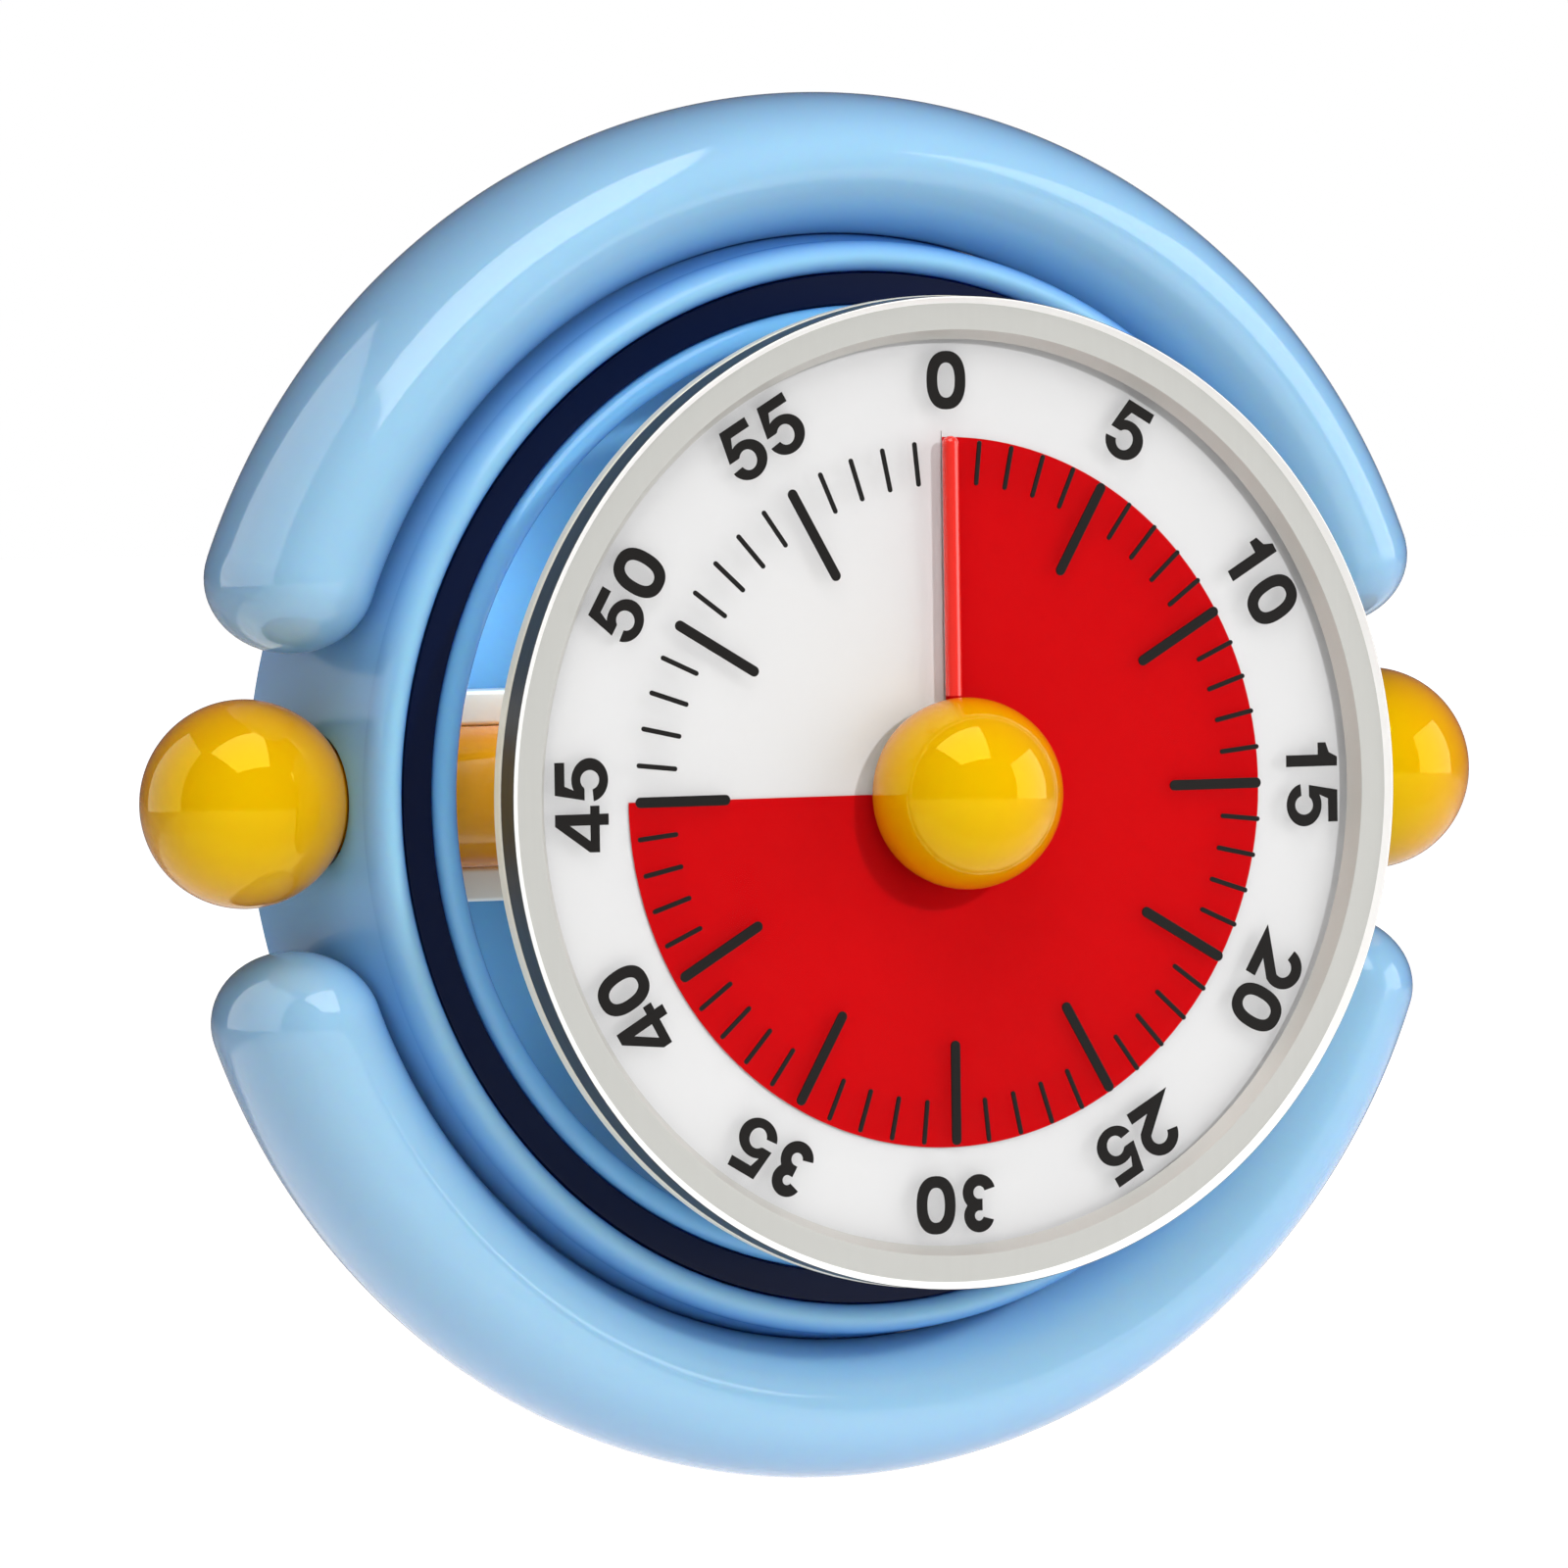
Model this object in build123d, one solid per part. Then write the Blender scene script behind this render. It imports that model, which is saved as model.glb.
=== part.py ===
from build123d import *
import math
import os

# A round kitchen timer that sticks to a steel door by magnets in its back. A dial head with a
# wind-up movement tilts on a horizontal axle, which ends in a ball knob on each side of the frame.
# Millimetres. The origin is the centre of the flat back face: +X is right as seen from the front,
# +Z is up, and the front faces -Y. Pieces are drawn in a front view, where x is right, y is up and
# z is the height above the back face, and FRONT carries them to where they stand.

FRONT = Plane(origin=(0, 0, 0), x_dir=(1, 0, 0), z_dir=(0, -1, 0))
BASE = (Align.CENTER, Align.CENTER, Align.MIN)

# Frame
AXLE_Z = 10.5
AXLE_R = 5.7
AXLE_SHOULDER = 36.5
JOURNAL_R = 4.2
JOURNAL_END = 50.0
RUNNING = 0.06
SHELL_BACK = 0.6
SHELL_BACK_R = 47.15
SHELL_FRONT = 17.4
SHELL_FRONT_R = 44.45
SHELL_IN = 43.0
RING_R = 42.98
RING_HALF = 1.08
RING_SIDE = 18.9
RING_TOP = 20.5
RING_OUTSIDE = (44.02, 19.5)
RING_INSIDE = (42.2, 20.1)
COVER_R = SHELL_IN - 0.1
COVER_T = 2.0
LINER_IN = 37.2
LINER_OUT = 39.2
LINER_FLOOR = 2.1
LINER_FLOOR_T = 1.0
GROOVE_TOP = 19.5
GROOVE_BOTTOM = 14.5
GAP = 0.1
BUSH_R = 5.0
BUSH_IN = 36.7
BUSH_OUT = 44.0
BUMPER_R = 50.6
BUMPER_HALF_WIDTH = 6.0
BUMPER_HALF_DEPTH = 10.0
BUMPER_END_DEG = 20.7
CRADLE_X = (24.0, 36.0)
CRADLE_HALF = 8.5
CRADLE_TOP = AXLE_Z - 0.3
SCREW_RING_R = 41.1
SCREW_ANGLES = (45, 135, 225, 315)
SCREW_R = 0.8
SCREW_HOLE_R = 0.85
BOSS_R = 1.75
MAGNET_R = 5.0
MAGNET_T = 1.4
MAGNET_RING_R = 21.0
MAGNET_ANGLES = (0, 90, 180, 270)
GRIP_RING = (33.0, 36.0)
GRIP_T = 0.8

# Balls and knob
BALL_R = 8.4
BALL_X = 51.6
BALL_SEAT = 0.15
KNOB_R = 7.7
KNOB_Z = 36.6
KNOB_FLAT_Z = 34.05

# Dial head
CASE_BACK = 16.5
CASE_BACK_R = 28.0
CASE_WALL = 1.6
CASE_SHOULDER_R = 37.3
CASE_SHOULDER_Z = 31.6
RIM_R = 39.85
RIM_LOW = 32.0
RIM_TOP = 33.1
SEAT_R = 37.75
FACE_R = 37.6
FACE_LOW = 32.1
FACE_TOP = 32.95
FACE_RIM_R = 36.9
WINDOW_LOW = 33.35
WINDOW_TOP = 33.85
BEZEL_R = 39.8
BEZEL_LIP_R = 36.35
BEZEL_RING = (37.1, 39.2)
BEZEL_RING_Z = 35.02
BEZEL_BACK = 33.15
BEZEL_TOP = 35.5
BEZEL_EDGE = 0.14
SADDLE_X = 14.0
SADDLE_Y = 11.0
STRAP_R = 7.0
EAR_T = 2.0
CLAMP_SCREWS = ((-10.5, 9.0), (10.5, 9.0), (-10.5, -9.0), (10.5, -9.0))
SHEET_LOW = 33.05
SHEET_TOP = 33.2
SHEET_R = 28.5
SHEET_HOLE_R = 3.0
SLIT_HALF = 0.15
REST_DEG = 270.0
MARK_T = 0.15
MARK_END_R = 28.3
MAJOR_START_R = 19.9
MINOR_START_R = 24.7
MAJOR_W = 0.85
MINOR_W = 0.4
NUMERAL_R = 33.05
NUMERAL_H = 4.7
NUMERAL_W = 3.5
STROKE = 0.95
NUMERAL_PITCH = 3.9
ROD_R = 0.67
ROD_START_R = 7.78
ROD_END_R = 28.6

# Movement
ARBOR_R = 1.5
ARBOR_START = 19.0
PLATE_R = 26.0
REAR_PLATE = (19.0, 19.8)
FRONT_PLATE = (27.6, 28.4)
PILLAR_R = 1.2
PILLAR_RING_R = 24.2
PILLAR_ANGLES = (20, 195, 245)
PIVOT_R = 0.4
STAFF_R = 0.6
HOLE_PLAY = 0.05
MAIN = {"teeth": 60, "module": 0.4, "z": (23.2, 24.0)}
SECOND_PINION = {"teeth": 12, "module": 0.4, "z": (23.0, 24.2)}
SECOND_WHEEL = {"teeth": 48, "module": 0.35, "z": (21.8, 22.4)}
THIRD_PINION = {"teeth": 12, "module": 0.35, "z": (21.6, 22.7)}
THIRD_WHEEL = {"teeth": 48, "module": 0.3, "z": (20.4, 21.0)}
ESCAPE_PINION = {"teeth": 12, "module": 0.3, "z": (20.2, 21.2)}
SECOND_DIR = -60.0
THIRD_DIR = 33.0
ESCAPE_DIR = 100.0
PALLET_DIR = 80.0
ESCAPE_TEETH = 15
ESCAPE_TIP = 4.5
ESCAPE_ROOT = 3.3
ESCAPE_Z = (24.6, 25.2)
PALLET_SPAN_DEG = 30.0
PALLET_PIN_REACH = 4.9
PALLET_PIN_R = 0.25
BELL_AT = (-17.5, 8.6)
BELL_R = 6.3
BELL_Z = (21.0, 26.0)
BELL_WALL = 0.5
HAMMER_AT = (-5.5, 17.5)
HAMMER_HEAD_AT = (-13.5, 15.5)
SPRING_IN = 2.0
SPRING_OUT = 8.0
SPRING_TURNS = 5
SPRING_T = 0.3
SPRING_Z = (24.7, 27.1)


def disc(radius, low, high, at=(0, 0)):
    return Pos(at[0], at[1], low) * Cylinder(radius, high - low, align=BASE)


def ring(inner, outer, low, high, at=(0, 0)):
    return disc(outer, low, high, at) - disc(inner, low - 1, high + 1, at)


def bar_x(radius, start, end):
    return Pos(start, 0, AXLE_Z) * Rot(0, 90, 0) * Cylinder(radius, end - start, align=BASE)


def block(x, y, z):
    size = (x[1] - x[0], y[1] - y[0], z[1] - z[0])
    middle = ((x[0] + x[1]) / 2, (y[0] + y[1]) / 2, (z[0] + z[1]) / 2)
    return Pos(*middle) * Box(*size)


def turned(profile):
    return revolve(Plane.XZ * make_face(profile), Axis.Z)


def clock(radius, degrees):
    """The point at a radius and an angle clockwise from twelve o'clock."""
    angle = math.radians(degrees)
    return (radius * math.sin(angle), radius * math.cos(angle))


def polar(start, length, degrees):
    """The point a length away from start, at an angle anticlockwise from +X."""
    angle = math.radians(degrees)
    return (start[0] + length * math.cos(angle), start[1] + length * math.sin(angle))


def save(name, *solids):
    placed = [FRONT.location * solid for solid in solids]
    shape = placed[0] if len(placed) == 1 else Compound(children=placed)
    export_step(shape, "parts/" + name + ".step")


def screw(at, low, high, head_r, head_t, shank_r):
    """A round-headed screw whose head is at its low end."""
    body = disc(head_r, low, low + head_t, at) + disc(shank_r, low + head_t, high, at)
    slot_w = head_r * 0.25
    slot = block((-head_r, head_r), (-slot_w / 2, slot_w / 2), (low - 0.1, low + head_t * 0.45))
    return body - Pos(at[0], at[1], 0) * slot


# Frame pieces


def rear_cover():
    plate = disc(COVER_R, 0, COVER_T)
    plate = fillet(plate.edges().group_by(Axis.Z)[0], 0.5)
    for angle in SCREW_ANGLES:
        at = clock(SCREW_RING_R, angle)
        plate -= disc(SCREW_HOLE_R, -1, COVER_T + 1, at) + disc(1.6, -1, 0.9, at)
    for angle in MAGNET_ANGLES:
        plate -= disc(MAGNET_R + 0.02, -1, MAGNET_T, clock(MAGNET_RING_R, angle))
    return plate - ring(GRIP_RING[0] - 0.02, GRIP_RING[1] + 0.02, -1, GRIP_T)


def shell_radius(z):
    """The outer radius of the drum, which narrows towards the front."""
    share = (z - SHELL_BACK) / (SHELL_FRONT - SHELL_BACK)
    return SHELL_BACK_R + share * (SHELL_FRONT_R - SHELL_BACK_R)


def front_shell():
    ring_in = RING_R - RING_HALF
    profile = Polyline(
        (ring_in, RING_SIDE),
        (ring_in, GROOVE_BOTTOM),
        (SHELL_IN, GROOVE_BOTTOM - 1.1),
        (SHELL_IN, SHELL_BACK),
        (SHELL_BACK_R, SHELL_BACK),
        (SHELL_FRONT_R, SHELL_FRONT),
    )
    profile += ThreePointArc((SHELL_FRONT_R, SHELL_FRONT), RING_OUTSIDE, (RING_R, RING_TOP))
    profile += ThreePointArc((RING_R, RING_TOP), RING_INSIDE, (ring_in, RING_SIDE))
    shell = turned(profile)
    for angle in SCREW_ANGLES:
        at = clock(SCREW_RING_R, angle)
        web = Rot(0, 0, -angle) * block((-0.6, 0.6), (SCREW_RING_R, SHELL_IN + 0.8), (2.1, 13.5))
        shell += disc(BOSS_R, COVER_T + 0.1, 13.5, at) + web
    for angle in SCREW_ANGLES:
        shell -= disc(SCREW_HOLE_R, 0, 9, clock(SCREW_RING_R, angle))
    for side in (-1, 1):
        shell -= Pos(side * BALL_X, 0, AXLE_Z) * Sphere(BALL_R + BALL_SEAT)
    return shell - bar_x(BUSH_R + 0.05, -SHELL_BACK_R - 5, SHELL_BACK_R + 5)


def inner_liner():
    lip = (LINER_OUT - LINER_IN) / 2
    top = RING_TOP - lip
    floor = LINER_FLOOR + LINER_FLOOR_T
    profile = Polyline((0, LINER_FLOOR), (LINER_OUT, LINER_FLOOR), (LINER_OUT, top))
    profile += ThreePointArc((LINER_OUT, top), (LINER_IN + lip, top + lip), (LINER_IN, top))
    profile += Polyline((LINER_IN, top), (LINER_IN, floor), (0, floor), (0, LINER_FLOOR))
    cup = turned(profile)
    for side in (-1, 1):
        ends = sorted((side * 30.0, side * 42.0))
        cup -= bar_x(BUSH_R + 0.05, *ends)
    for at in cradle_screw_places():
        cup -= disc(SCREW_HOLE_R, 0, 5, at)
    return cup


def groove_ring():
    body = ring(LINER_OUT + GAP, RING_R - RING_HALF - GAP, GROOVE_BOTTOM, GROOVE_TOP)
    return body - bar_x(BUSH_R + 0.05, -SHELL_BACK_R, SHELL_BACK_R)


def bumper(side):
    """A thick crescent round half of the rim, with rounded ends. side is 1 above and -1 below."""
    section = Plane.XZ * Pos(BUMPER_R, AXLE_Z) * Ellipse(BUMPER_HALF_WIDTH, BUMPER_HALF_DEPTH)
    arc = revolve(section, Axis.Z, revolution_arc=180 - 2 * BUMPER_END_DEG)
    body = Rot(0, 0, BUMPER_END_DEG) * arc
    half = Plane.XZ * (Ellipse(BUMPER_HALF_WIDTH, BUMPER_HALF_DEPTH) & Pos(5, 0) * Rectangle(10, 40))
    end = revolve(half, Axis.Z)
    for angle in (BUMPER_END_DEG, 180 - BUMPER_END_DEG):
        at = polar((0, 0), BUMPER_R, angle)
        body += Pos(at[0], at[1], AXLE_Z) * end
    low, high = -5, 30
    radii = [shell_radius(z) + 0.05 for z in (low, high)]
    body -= turned(Polyline((0, low), (radii[0], low), (radii[1], high), (0, high), close=True))
    return body if side > 0 else Rot(0, 0, 180) * body


def axle_bush(side):
    ends = sorted((side * BUSH_IN, side * BUSH_OUT))
    return bar_x(BUSH_R, *ends) - bar_x(JOURNAL_R + RUNNING, -60, 60)


def cradle_screw_places():
    return [(side * 30.0, y) for side in (-1, 1) for y in (-7.2, 7.2)]


def cradle(side):
    x = sorted((side * CRADLE_X[0], side * CRADLE_X[1]))
    body = block(x, (-CRADLE_HALF, CRADLE_HALF), (LINER_FLOOR + LINER_FLOOR_T, CRADLE_TOP))
    body -= bar_x(AXLE_R + RUNNING, -60, 60)
    for at in cradle_screw_places():
        body -= disc(SCREW_HOLE_R, 0, 8, at)
    return body


def save_frame():
    save("rear_cover", rear_cover())
    save("front_shell", front_shell())
    save("inner_liner", inner_liner())
    save("groove_ring", groove_ring())
    save("bumper_upper", bumper(1))
    save("bumper_lower", bumper(-1))
    for name, side in (("left", -1), ("right", 1)):
        save("axle_bush_" + name, axle_bush(side))
        save("axle_cradle_" + name, cradle(side))
    save("grip_ring", ring(GRIP_RING[0], GRIP_RING[1], 0, GRIP_T - 0.02))
    magnets = [disc(MAGNET_R, 0, MAGNET_T - 0.02, clock(MAGNET_RING_R, a)) for a in MAGNET_ANGLES]
    save("magnets", *magnets)
    places = [clock(SCREW_RING_R, angle) for angle in SCREW_ANGLES]
    save("cover_screws", *[screw(at, 0.05, 8.5, 1.5, 0.83, SCREW_R) for at in places])
    floor = LINER_FLOOR + 0.02
    pins = [disc(SCREW_R, floor, 7.5, at) for at in cradle_screw_places()]
    save("cradle_screws", *pins)


# Tilting axle and its ball knobs


def axle():
    return bar_x(AXLE_R, -AXLE_SHOULDER, AXLE_SHOULDER) + bar_x(JOURNAL_R, -JOURNAL_END, JOURNAL_END)


def ball_knob(side):
    ball = Pos(side * BALL_X, 0, AXLE_Z) * Sphere(BALL_R)
    return ball - bar_x(JOURNAL_R + 0.02, -JOURNAL_END - 0.05, JOURNAL_END + 0.05)


def save_axle():
    save("axle", axle())
    save("ball_knob_left", ball_knob(-1))
    save("ball_knob_right", ball_knob(1))


# Dial head


def rear_case():
    floor = CASE_BACK + CASE_WALL
    profile = Polyline(
        (0, CASE_BACK),
        (CASE_BACK_R - 2, CASE_BACK),
        (CASE_BACK_R, CASE_BACK + 1.2),
        (CASE_SHOULDER_R, CASE_SHOULDER_Z),
        (RIM_R, RIM_LOW),
        (RIM_R, RIM_TOP),
        (SEAT_R, RIM_TOP),
        (SEAT_R, FACE_LOW),
        (CASE_SHOULDER_R - CASE_WALL, CASE_SHOULDER_Z + 0.2),
        (CASE_BACK_R - CASE_WALL + 0.3, floor),
        (0, floor),
        (0, CASE_BACK),
    )
    case = turned(profile)
    x, y = (-SADDLE_X, SADDLE_X), (-SADDLE_Y, SADDLE_Y)
    case += block(x, y, (AXLE_Z + 0.1, CASE_BACK + 0.2))
    case -= bar_x(AXLE_R + 0.02, -40, 40)
    for at in CLAMP_SCREWS:
        case -= disc(SCREW_HOLE_R, 5, CASE_BACK + 0.8, at)
    return case


def axle_clamp():
    x = (-SADDLE_X, SADDLE_X)
    strap = bar_x(STRAP_R, *x) + block(x, (-SADDLE_Y, SADDLE_Y), (AXLE_Z - EAR_T, AXLE_Z))
    strap &= block(x, (-20, 20), (0, AXLE_Z))
    strap -= bar_x(AXLE_R + 0.02, -40, 40)
    for at in CLAMP_SCREWS:
        strap -= disc(SCREW_HOLE_R, 0, 20, at)
    return strap


def bezel():
    """A flat ring with a raised edge, which slopes down to the window inside."""
    lip_z = WINDOW_TOP + 0.03
    round_r = BEZEL_EDGE * 0.8
    middle = round_r * (1 - math.sqrt(0.5))
    profile = Polyline(
        (BEZEL_R - round_r, BEZEL_TOP),
        (BEZEL_R - BEZEL_EDGE, BEZEL_TOP),
        (BEZEL_RING[1], BEZEL_RING_Z),
        (BEZEL_RING[0], BEZEL_RING_Z),
        (BEZEL_LIP_R, lip_z),
        (SEAT_R, lip_z),
        (SEAT_R, BEZEL_BACK),
        (BEZEL_R, BEZEL_BACK),
        (BEZEL_R, BEZEL_TOP - round_r),
    )
    profile += ThreePointArc(
        (BEZEL_R, BEZEL_TOP - round_r),
        (BEZEL_R - middle, BEZEL_TOP - middle),
        (BEZEL_R - round_r, BEZEL_TOP),
    )
    return turned(profile)


def face_plate():
    plate = disc(FACE_R, FACE_LOW + 0.02, FACE_TOP)
    plate += ring(FACE_RIM_R, FACE_R, FACE_TOP, WINDOW_LOW)
    plate -= disc(ARBOR_R + 0.3, 0, 50)
    return plate - block((-SLIT_HALF, SLIT_HALF), (6, SHEET_R + 0.5), (FACE_LOW - 1, FACE_TOP + 1))


def minute_marks():
    marks = []
    for minute in range(1, 60):
        major = minute % 5 == 0
        width = MAJOR_W if major else MINOR_W
        start = MAJOR_START_R if major else MINOR_START_R
        middle = clock((start + MARK_END_R) / 2, minute * 6)
        outline = Pos(*middle) * Rot(0, 0, 90 - minute * 6) * SlotOverall(MARK_END_R - start, width)
        marks.append(Pos(0, 0, WINDOW_TOP) * extrude(outline, MARK_T))
    return marks


def slot(start, end):
    """A straight pen stroke with round ends."""
    run = math.dist(start, end)
    turn = math.degrees(math.atan2(end[1] - start[1], end[0] - start[0]))
    middle = ((start[0] + end[0]) / 2, (start[1] + end[1]) / 2)
    return Pos(*middle) * Rot(0, 0, turn) * SlotCenterToCenter(run, STROKE)


def bowl(middle, radius, start, turn):
    """A round pen stroke with round ends."""
    return SlotArc(CenterArc(middle, radius, start, turn), STROKE)


def digit(figure):
    """One digit, centred on the origin, in strokes of one width."""
    x = (NUMERAL_W - STROKE) / 2
    y = (NUMERAL_H - STROKE) / 2
    if figure == "0":
        outer = Ellipse(x + STROKE / 2, y + STROKE / 2)
        return outer - Ellipse(x - STROKE / 2, y - STROKE / 2)
    if figure == "1":
        return slot((0.3, -y), (0.3, y)) + slot((0.3, y), (-0.8, y - 0.7))
    if figure == "2":
        top = bowl((0, y - x), x, 170, -205)
        elbow = (x * math.cos(math.radians(-35)), y - x + x * math.sin(math.radians(-35)))
        return top + slot(elbow, (-x, -y)) + slot((-x, -y), (x, -y))
    if figure == "3":
        upper, lower = y * 0.48, y * 0.52
        return bowl((0, y - upper), upper, 150, -240) + bowl((0, lower - y), lower, 90, -250)
    if figure == "4":
        bar = -y * 0.45
        strokes = slot((0.5, y), (-x, bar)) + slot((-x, bar), (x + 0.2, bar))
        return strokes + slot((0.5, y), (0.5, -y))
    round_r = y * 0.6
    strokes = slot((-x + 0.2, y), (x, y)) + slot((-x + 0.2, y), (-x, 0.1))
    return strokes + bowl((0, round_r - y), round_r, 150, -310)


def numerals():
    """The numbers 0 to 55, each with its top away from the centre."""
    digits = []
    for minutes in range(0, 60, 5):
        text = str(minutes)
        for index, figure in enumerate(text):
            shift = (index - (len(text) - 1) / 2) * NUMERAL_PITCH
            flat = Rot(0, 0, -minutes * 6) * Pos(shift, NUMERAL_R) * digit(figure)
            digits.append(Pos(0, 0, WINDOW_TOP) * extrude(flat, MARK_T))
    return digits


def index_rod():
    length = ROD_END_R - ROD_START_R
    rod = Rot(-90, 0, 0) * Cylinder(ROD_R, length, align=BASE)
    rod = fillet(rod.edges().group_by(Axis.Y)[-1], ROD_R * 0.9)
    return Pos(0, ROD_START_R, WINDOW_TOP + ROD_R) * rod


def sheet_leaf(start, end):
    """A leaf of the red sheet, between two angles clockwise from twelve o'clock."""
    wedge = disc(SHEET_R, SHEET_LOW, SHEET_TOP) - disc(SHEET_HOLE_R, 0, 50)
    tall = (SHEET_LOW - 1, SHEET_TOP + 1)
    for angle, side in ((start, 1), (end, -1)):
        x = sorted((0, -side * 60))
        wedge -= Rot(0, 0, -angle) * block(x, (-60, 60), tall)
    return wedge


def save_head():
    save("rear_case", rear_case())
    save("axle_clamp", axle_clamp())
    low = AXLE_Z - EAR_T - 0.8
    save("clamp_screws", *[screw(at, low, 16.8, 1.4, 0.78, SCREW_R) for at in CLAMP_SCREWS])
    save("bezel", bezel())
    save("face_plate", face_plate())
    save("dial_window", ring(ARBOR_R + 0.3, FACE_R, WINDOW_LOW, WINDOW_TOP))
    save("minute_marks", *minute_marks())
    save("numerals", *numerals())
    save("index_rod", index_rod())
    half = REST_DEG / 2
    save("time_sheet_trailing", sheet_leaf(0.0, half))
    save("time_sheet_leading", sheet_leaf(half, REST_DEG))


# Wind-up movement


def gear(spec, at, bore, phase):
    """A spur wheel with straight-sided teeth. phase is the angle of one tooth, from +X."""
    teeth, module = spec["teeth"], spec["module"]
    pitch = teeth * module / 2
    step = 360 / teeth
    outline = []
    for tooth in range(teeth):
        for radius, share in (
            (pitch - 1.15 * module, -0.29),
            (pitch, -0.205),
            (pitch + 0.8 * module, -0.09),
            (pitch + 0.8 * module, 0.09),
            (pitch, 0.205),
            (pitch - 1.15 * module, 0.29),
        ):
            outline.append(polar(at, radius, phase + (tooth + share) * step))
    low, high = spec["z"]
    blank = Pos(0, 0, low) * extrude(make_face(Polyline(*outline, close=True)), high - low)
    return blank - disc(bore, 0, 50, at)


def meshing_phase(spec, phase, direction, other):
    """The phase of a wheel that meshes with spec, which lies in a direction from it."""
    share = ((direction - phase) / (360 / spec["teeth"])) % 1
    return direction + 180 + (share + 0.5) * 360 / other["teeth"]


def centre_distance(a, b):
    return (a["teeth"] * a["module"] + b["teeth"] * b["module"]) / 2


def train():
    """Where each arbor stands, and the phase of each wheel on it."""
    second = polar((0, 0), centre_distance(MAIN, SECOND_PINION), SECOND_DIR)
    third = polar(second, centre_distance(SECOND_WHEEL, THIRD_PINION), THIRD_DIR)
    escape = polar(third, centre_distance(THIRD_WHEEL, ESCAPE_PINION), ESCAPE_DIR)
    return {
        "second": (second, meshing_phase(MAIN, 0, SECOND_DIR, SECOND_PINION)),
        "third": (third, meshing_phase(SECOND_WHEEL, 0, THIRD_DIR, THIRD_PINION)),
        "escape": (escape, meshing_phase(THIRD_WHEEL, 0, ESCAPE_DIR, ESCAPE_PINION)),
    }


def staff(at, spec, phase):
    """An arbor with its pinion cut in one piece, and a thin pivot at each end."""
    low, high = REAR_PLATE[1] + 0.1, FRONT_PLATE[0] - 0.1
    body = disc(STAFF_R, low, high, at) + disc(PIVOT_R, REAR_PLATE[0], FRONT_PLATE[1], at)
    return body + gear(spec, at, 0.2, phase)


def train_wheel(spec, at):
    return gear(spec, at, STAFF_R + 0.02, 0)


def escape_wheel(at):
    """A wheel of thin pointed teeth, turned so that both pallet pins face a gap."""
    outline = []
    step = 360 / ESCAPE_TEETH
    first = PALLET_DIR + PALLET_SPAN_DEG + step / 4
    for tooth in range(ESCAPE_TEETH):
        angle = first + tooth * step
        outline.append(polar(at, ESCAPE_ROOT, angle - step * 0.22))
        outline.append(polar(at, ESCAPE_TIP, angle - step * 0.03))
        outline.append(polar(at, ESCAPE_TIP, angle + step * 0.03))
        outline.append(polar(at, ESCAPE_ROOT, angle + step * 0.22))
    low, high = ESCAPE_Z
    blank = Pos(0, 0, low) * extrude(make_face(Polyline(*outline, close=True)), high - low)
    return blank - disc(STAFF_R + 0.02, 0, 50, at)


def pallet_at(escape):
    reach = PALLET_PIN_REACH / math.cos(math.radians(PALLET_SPAN_DEG))
    return polar(escape, reach, PALLET_DIR)


def pallet_lever(escape):
    pivot = pallet_at(escape)
    low, high = ESCAPE_Z[1] + 0.2, ESCAPE_Z[1] + 0.7
    body = disc(1.0, low, high, pivot)
    for side in (-1, 1):
        pin = polar(escape, PALLET_PIN_REACH, PALLET_DIR + side * PALLET_SPAN_DEG)
        turn = math.degrees(math.atan2(pin[1] - pivot[1], pin[0] - pivot[0]))
        run = math.dist(pin, pivot)
        middle = ((pin[0] + pivot[0]) / 2, (pin[1] + pivot[1]) / 2)
        arm = Pos(middle[0], middle[1], low) * Rot(0, 0, turn)
        body += arm * extrude(SlotCenterToCenter(run, 0.7), high - low)
        body += disc(PALLET_PIN_R, ESCAPE_Z[0], high, pin)
    rim = ring(1.7, 2.1, low, high, pivot) & disc(30, low, high, polar(pivot, 30.3, PALLET_DIR))
    spoke_end = polar(pivot, 1.9, PALLET_DIR)
    spoke = Pos((pivot[0] + spoke_end[0]) / 2, (pivot[1] + spoke_end[1]) / 2, low)
    body += rim + spoke * Rot(0, 0, PALLET_DIR) * extrude(SlotCenterToCenter(1.9, 0.5), high - low)
    return body - disc(PIVOT_R + HOLE_PLAY, 0, 50, pivot)


def movement_plate(low, high, arbors, posts):
    plate = disc(PLATE_R, low, high) - disc(ARBOR_R + HOLE_PLAY, 0, 50)
    for at in arbors:
        plate -= disc(PIVOT_R + HOLE_PLAY, 0, 50, at)
    for at in posts:
        plate -= disc(PIVOT_R + 0.02, 0, 50, at)
    for angle in PILLAR_ANGLES:
        plate -= disc(SCREW_HOLE_R, 0, 50, clock(PILLAR_RING_R, angle))
    return plate


def bell():
    cup = disc(BELL_R, *BELL_Z, BELL_AT)
    cup = fillet(cup.edges().group_by(Axis.Z)[-1], 1.6)
    hollow = disc(BELL_R - BELL_WALL, BELL_Z[0] - 1, BELL_Z[1] - BELL_WALL, BELL_AT)
    hollow = fillet(hollow.edges().group_by(Axis.Z)[-1], 1.2)
    return cup - hollow - disc(1.02, 0, 50, BELL_AT)


def bell_post():
    post = disc(PIVOT_R, REAR_PLATE[0], FRONT_PLATE[1], BELL_AT)
    post += disc(1.6, REAR_PLATE[1], BELL_Z[1] - BELL_WALL - 0.02, BELL_AT)
    return post + disc(1.0, REAR_PLATE[1], FRONT_PLATE[0], BELL_AT)


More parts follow.
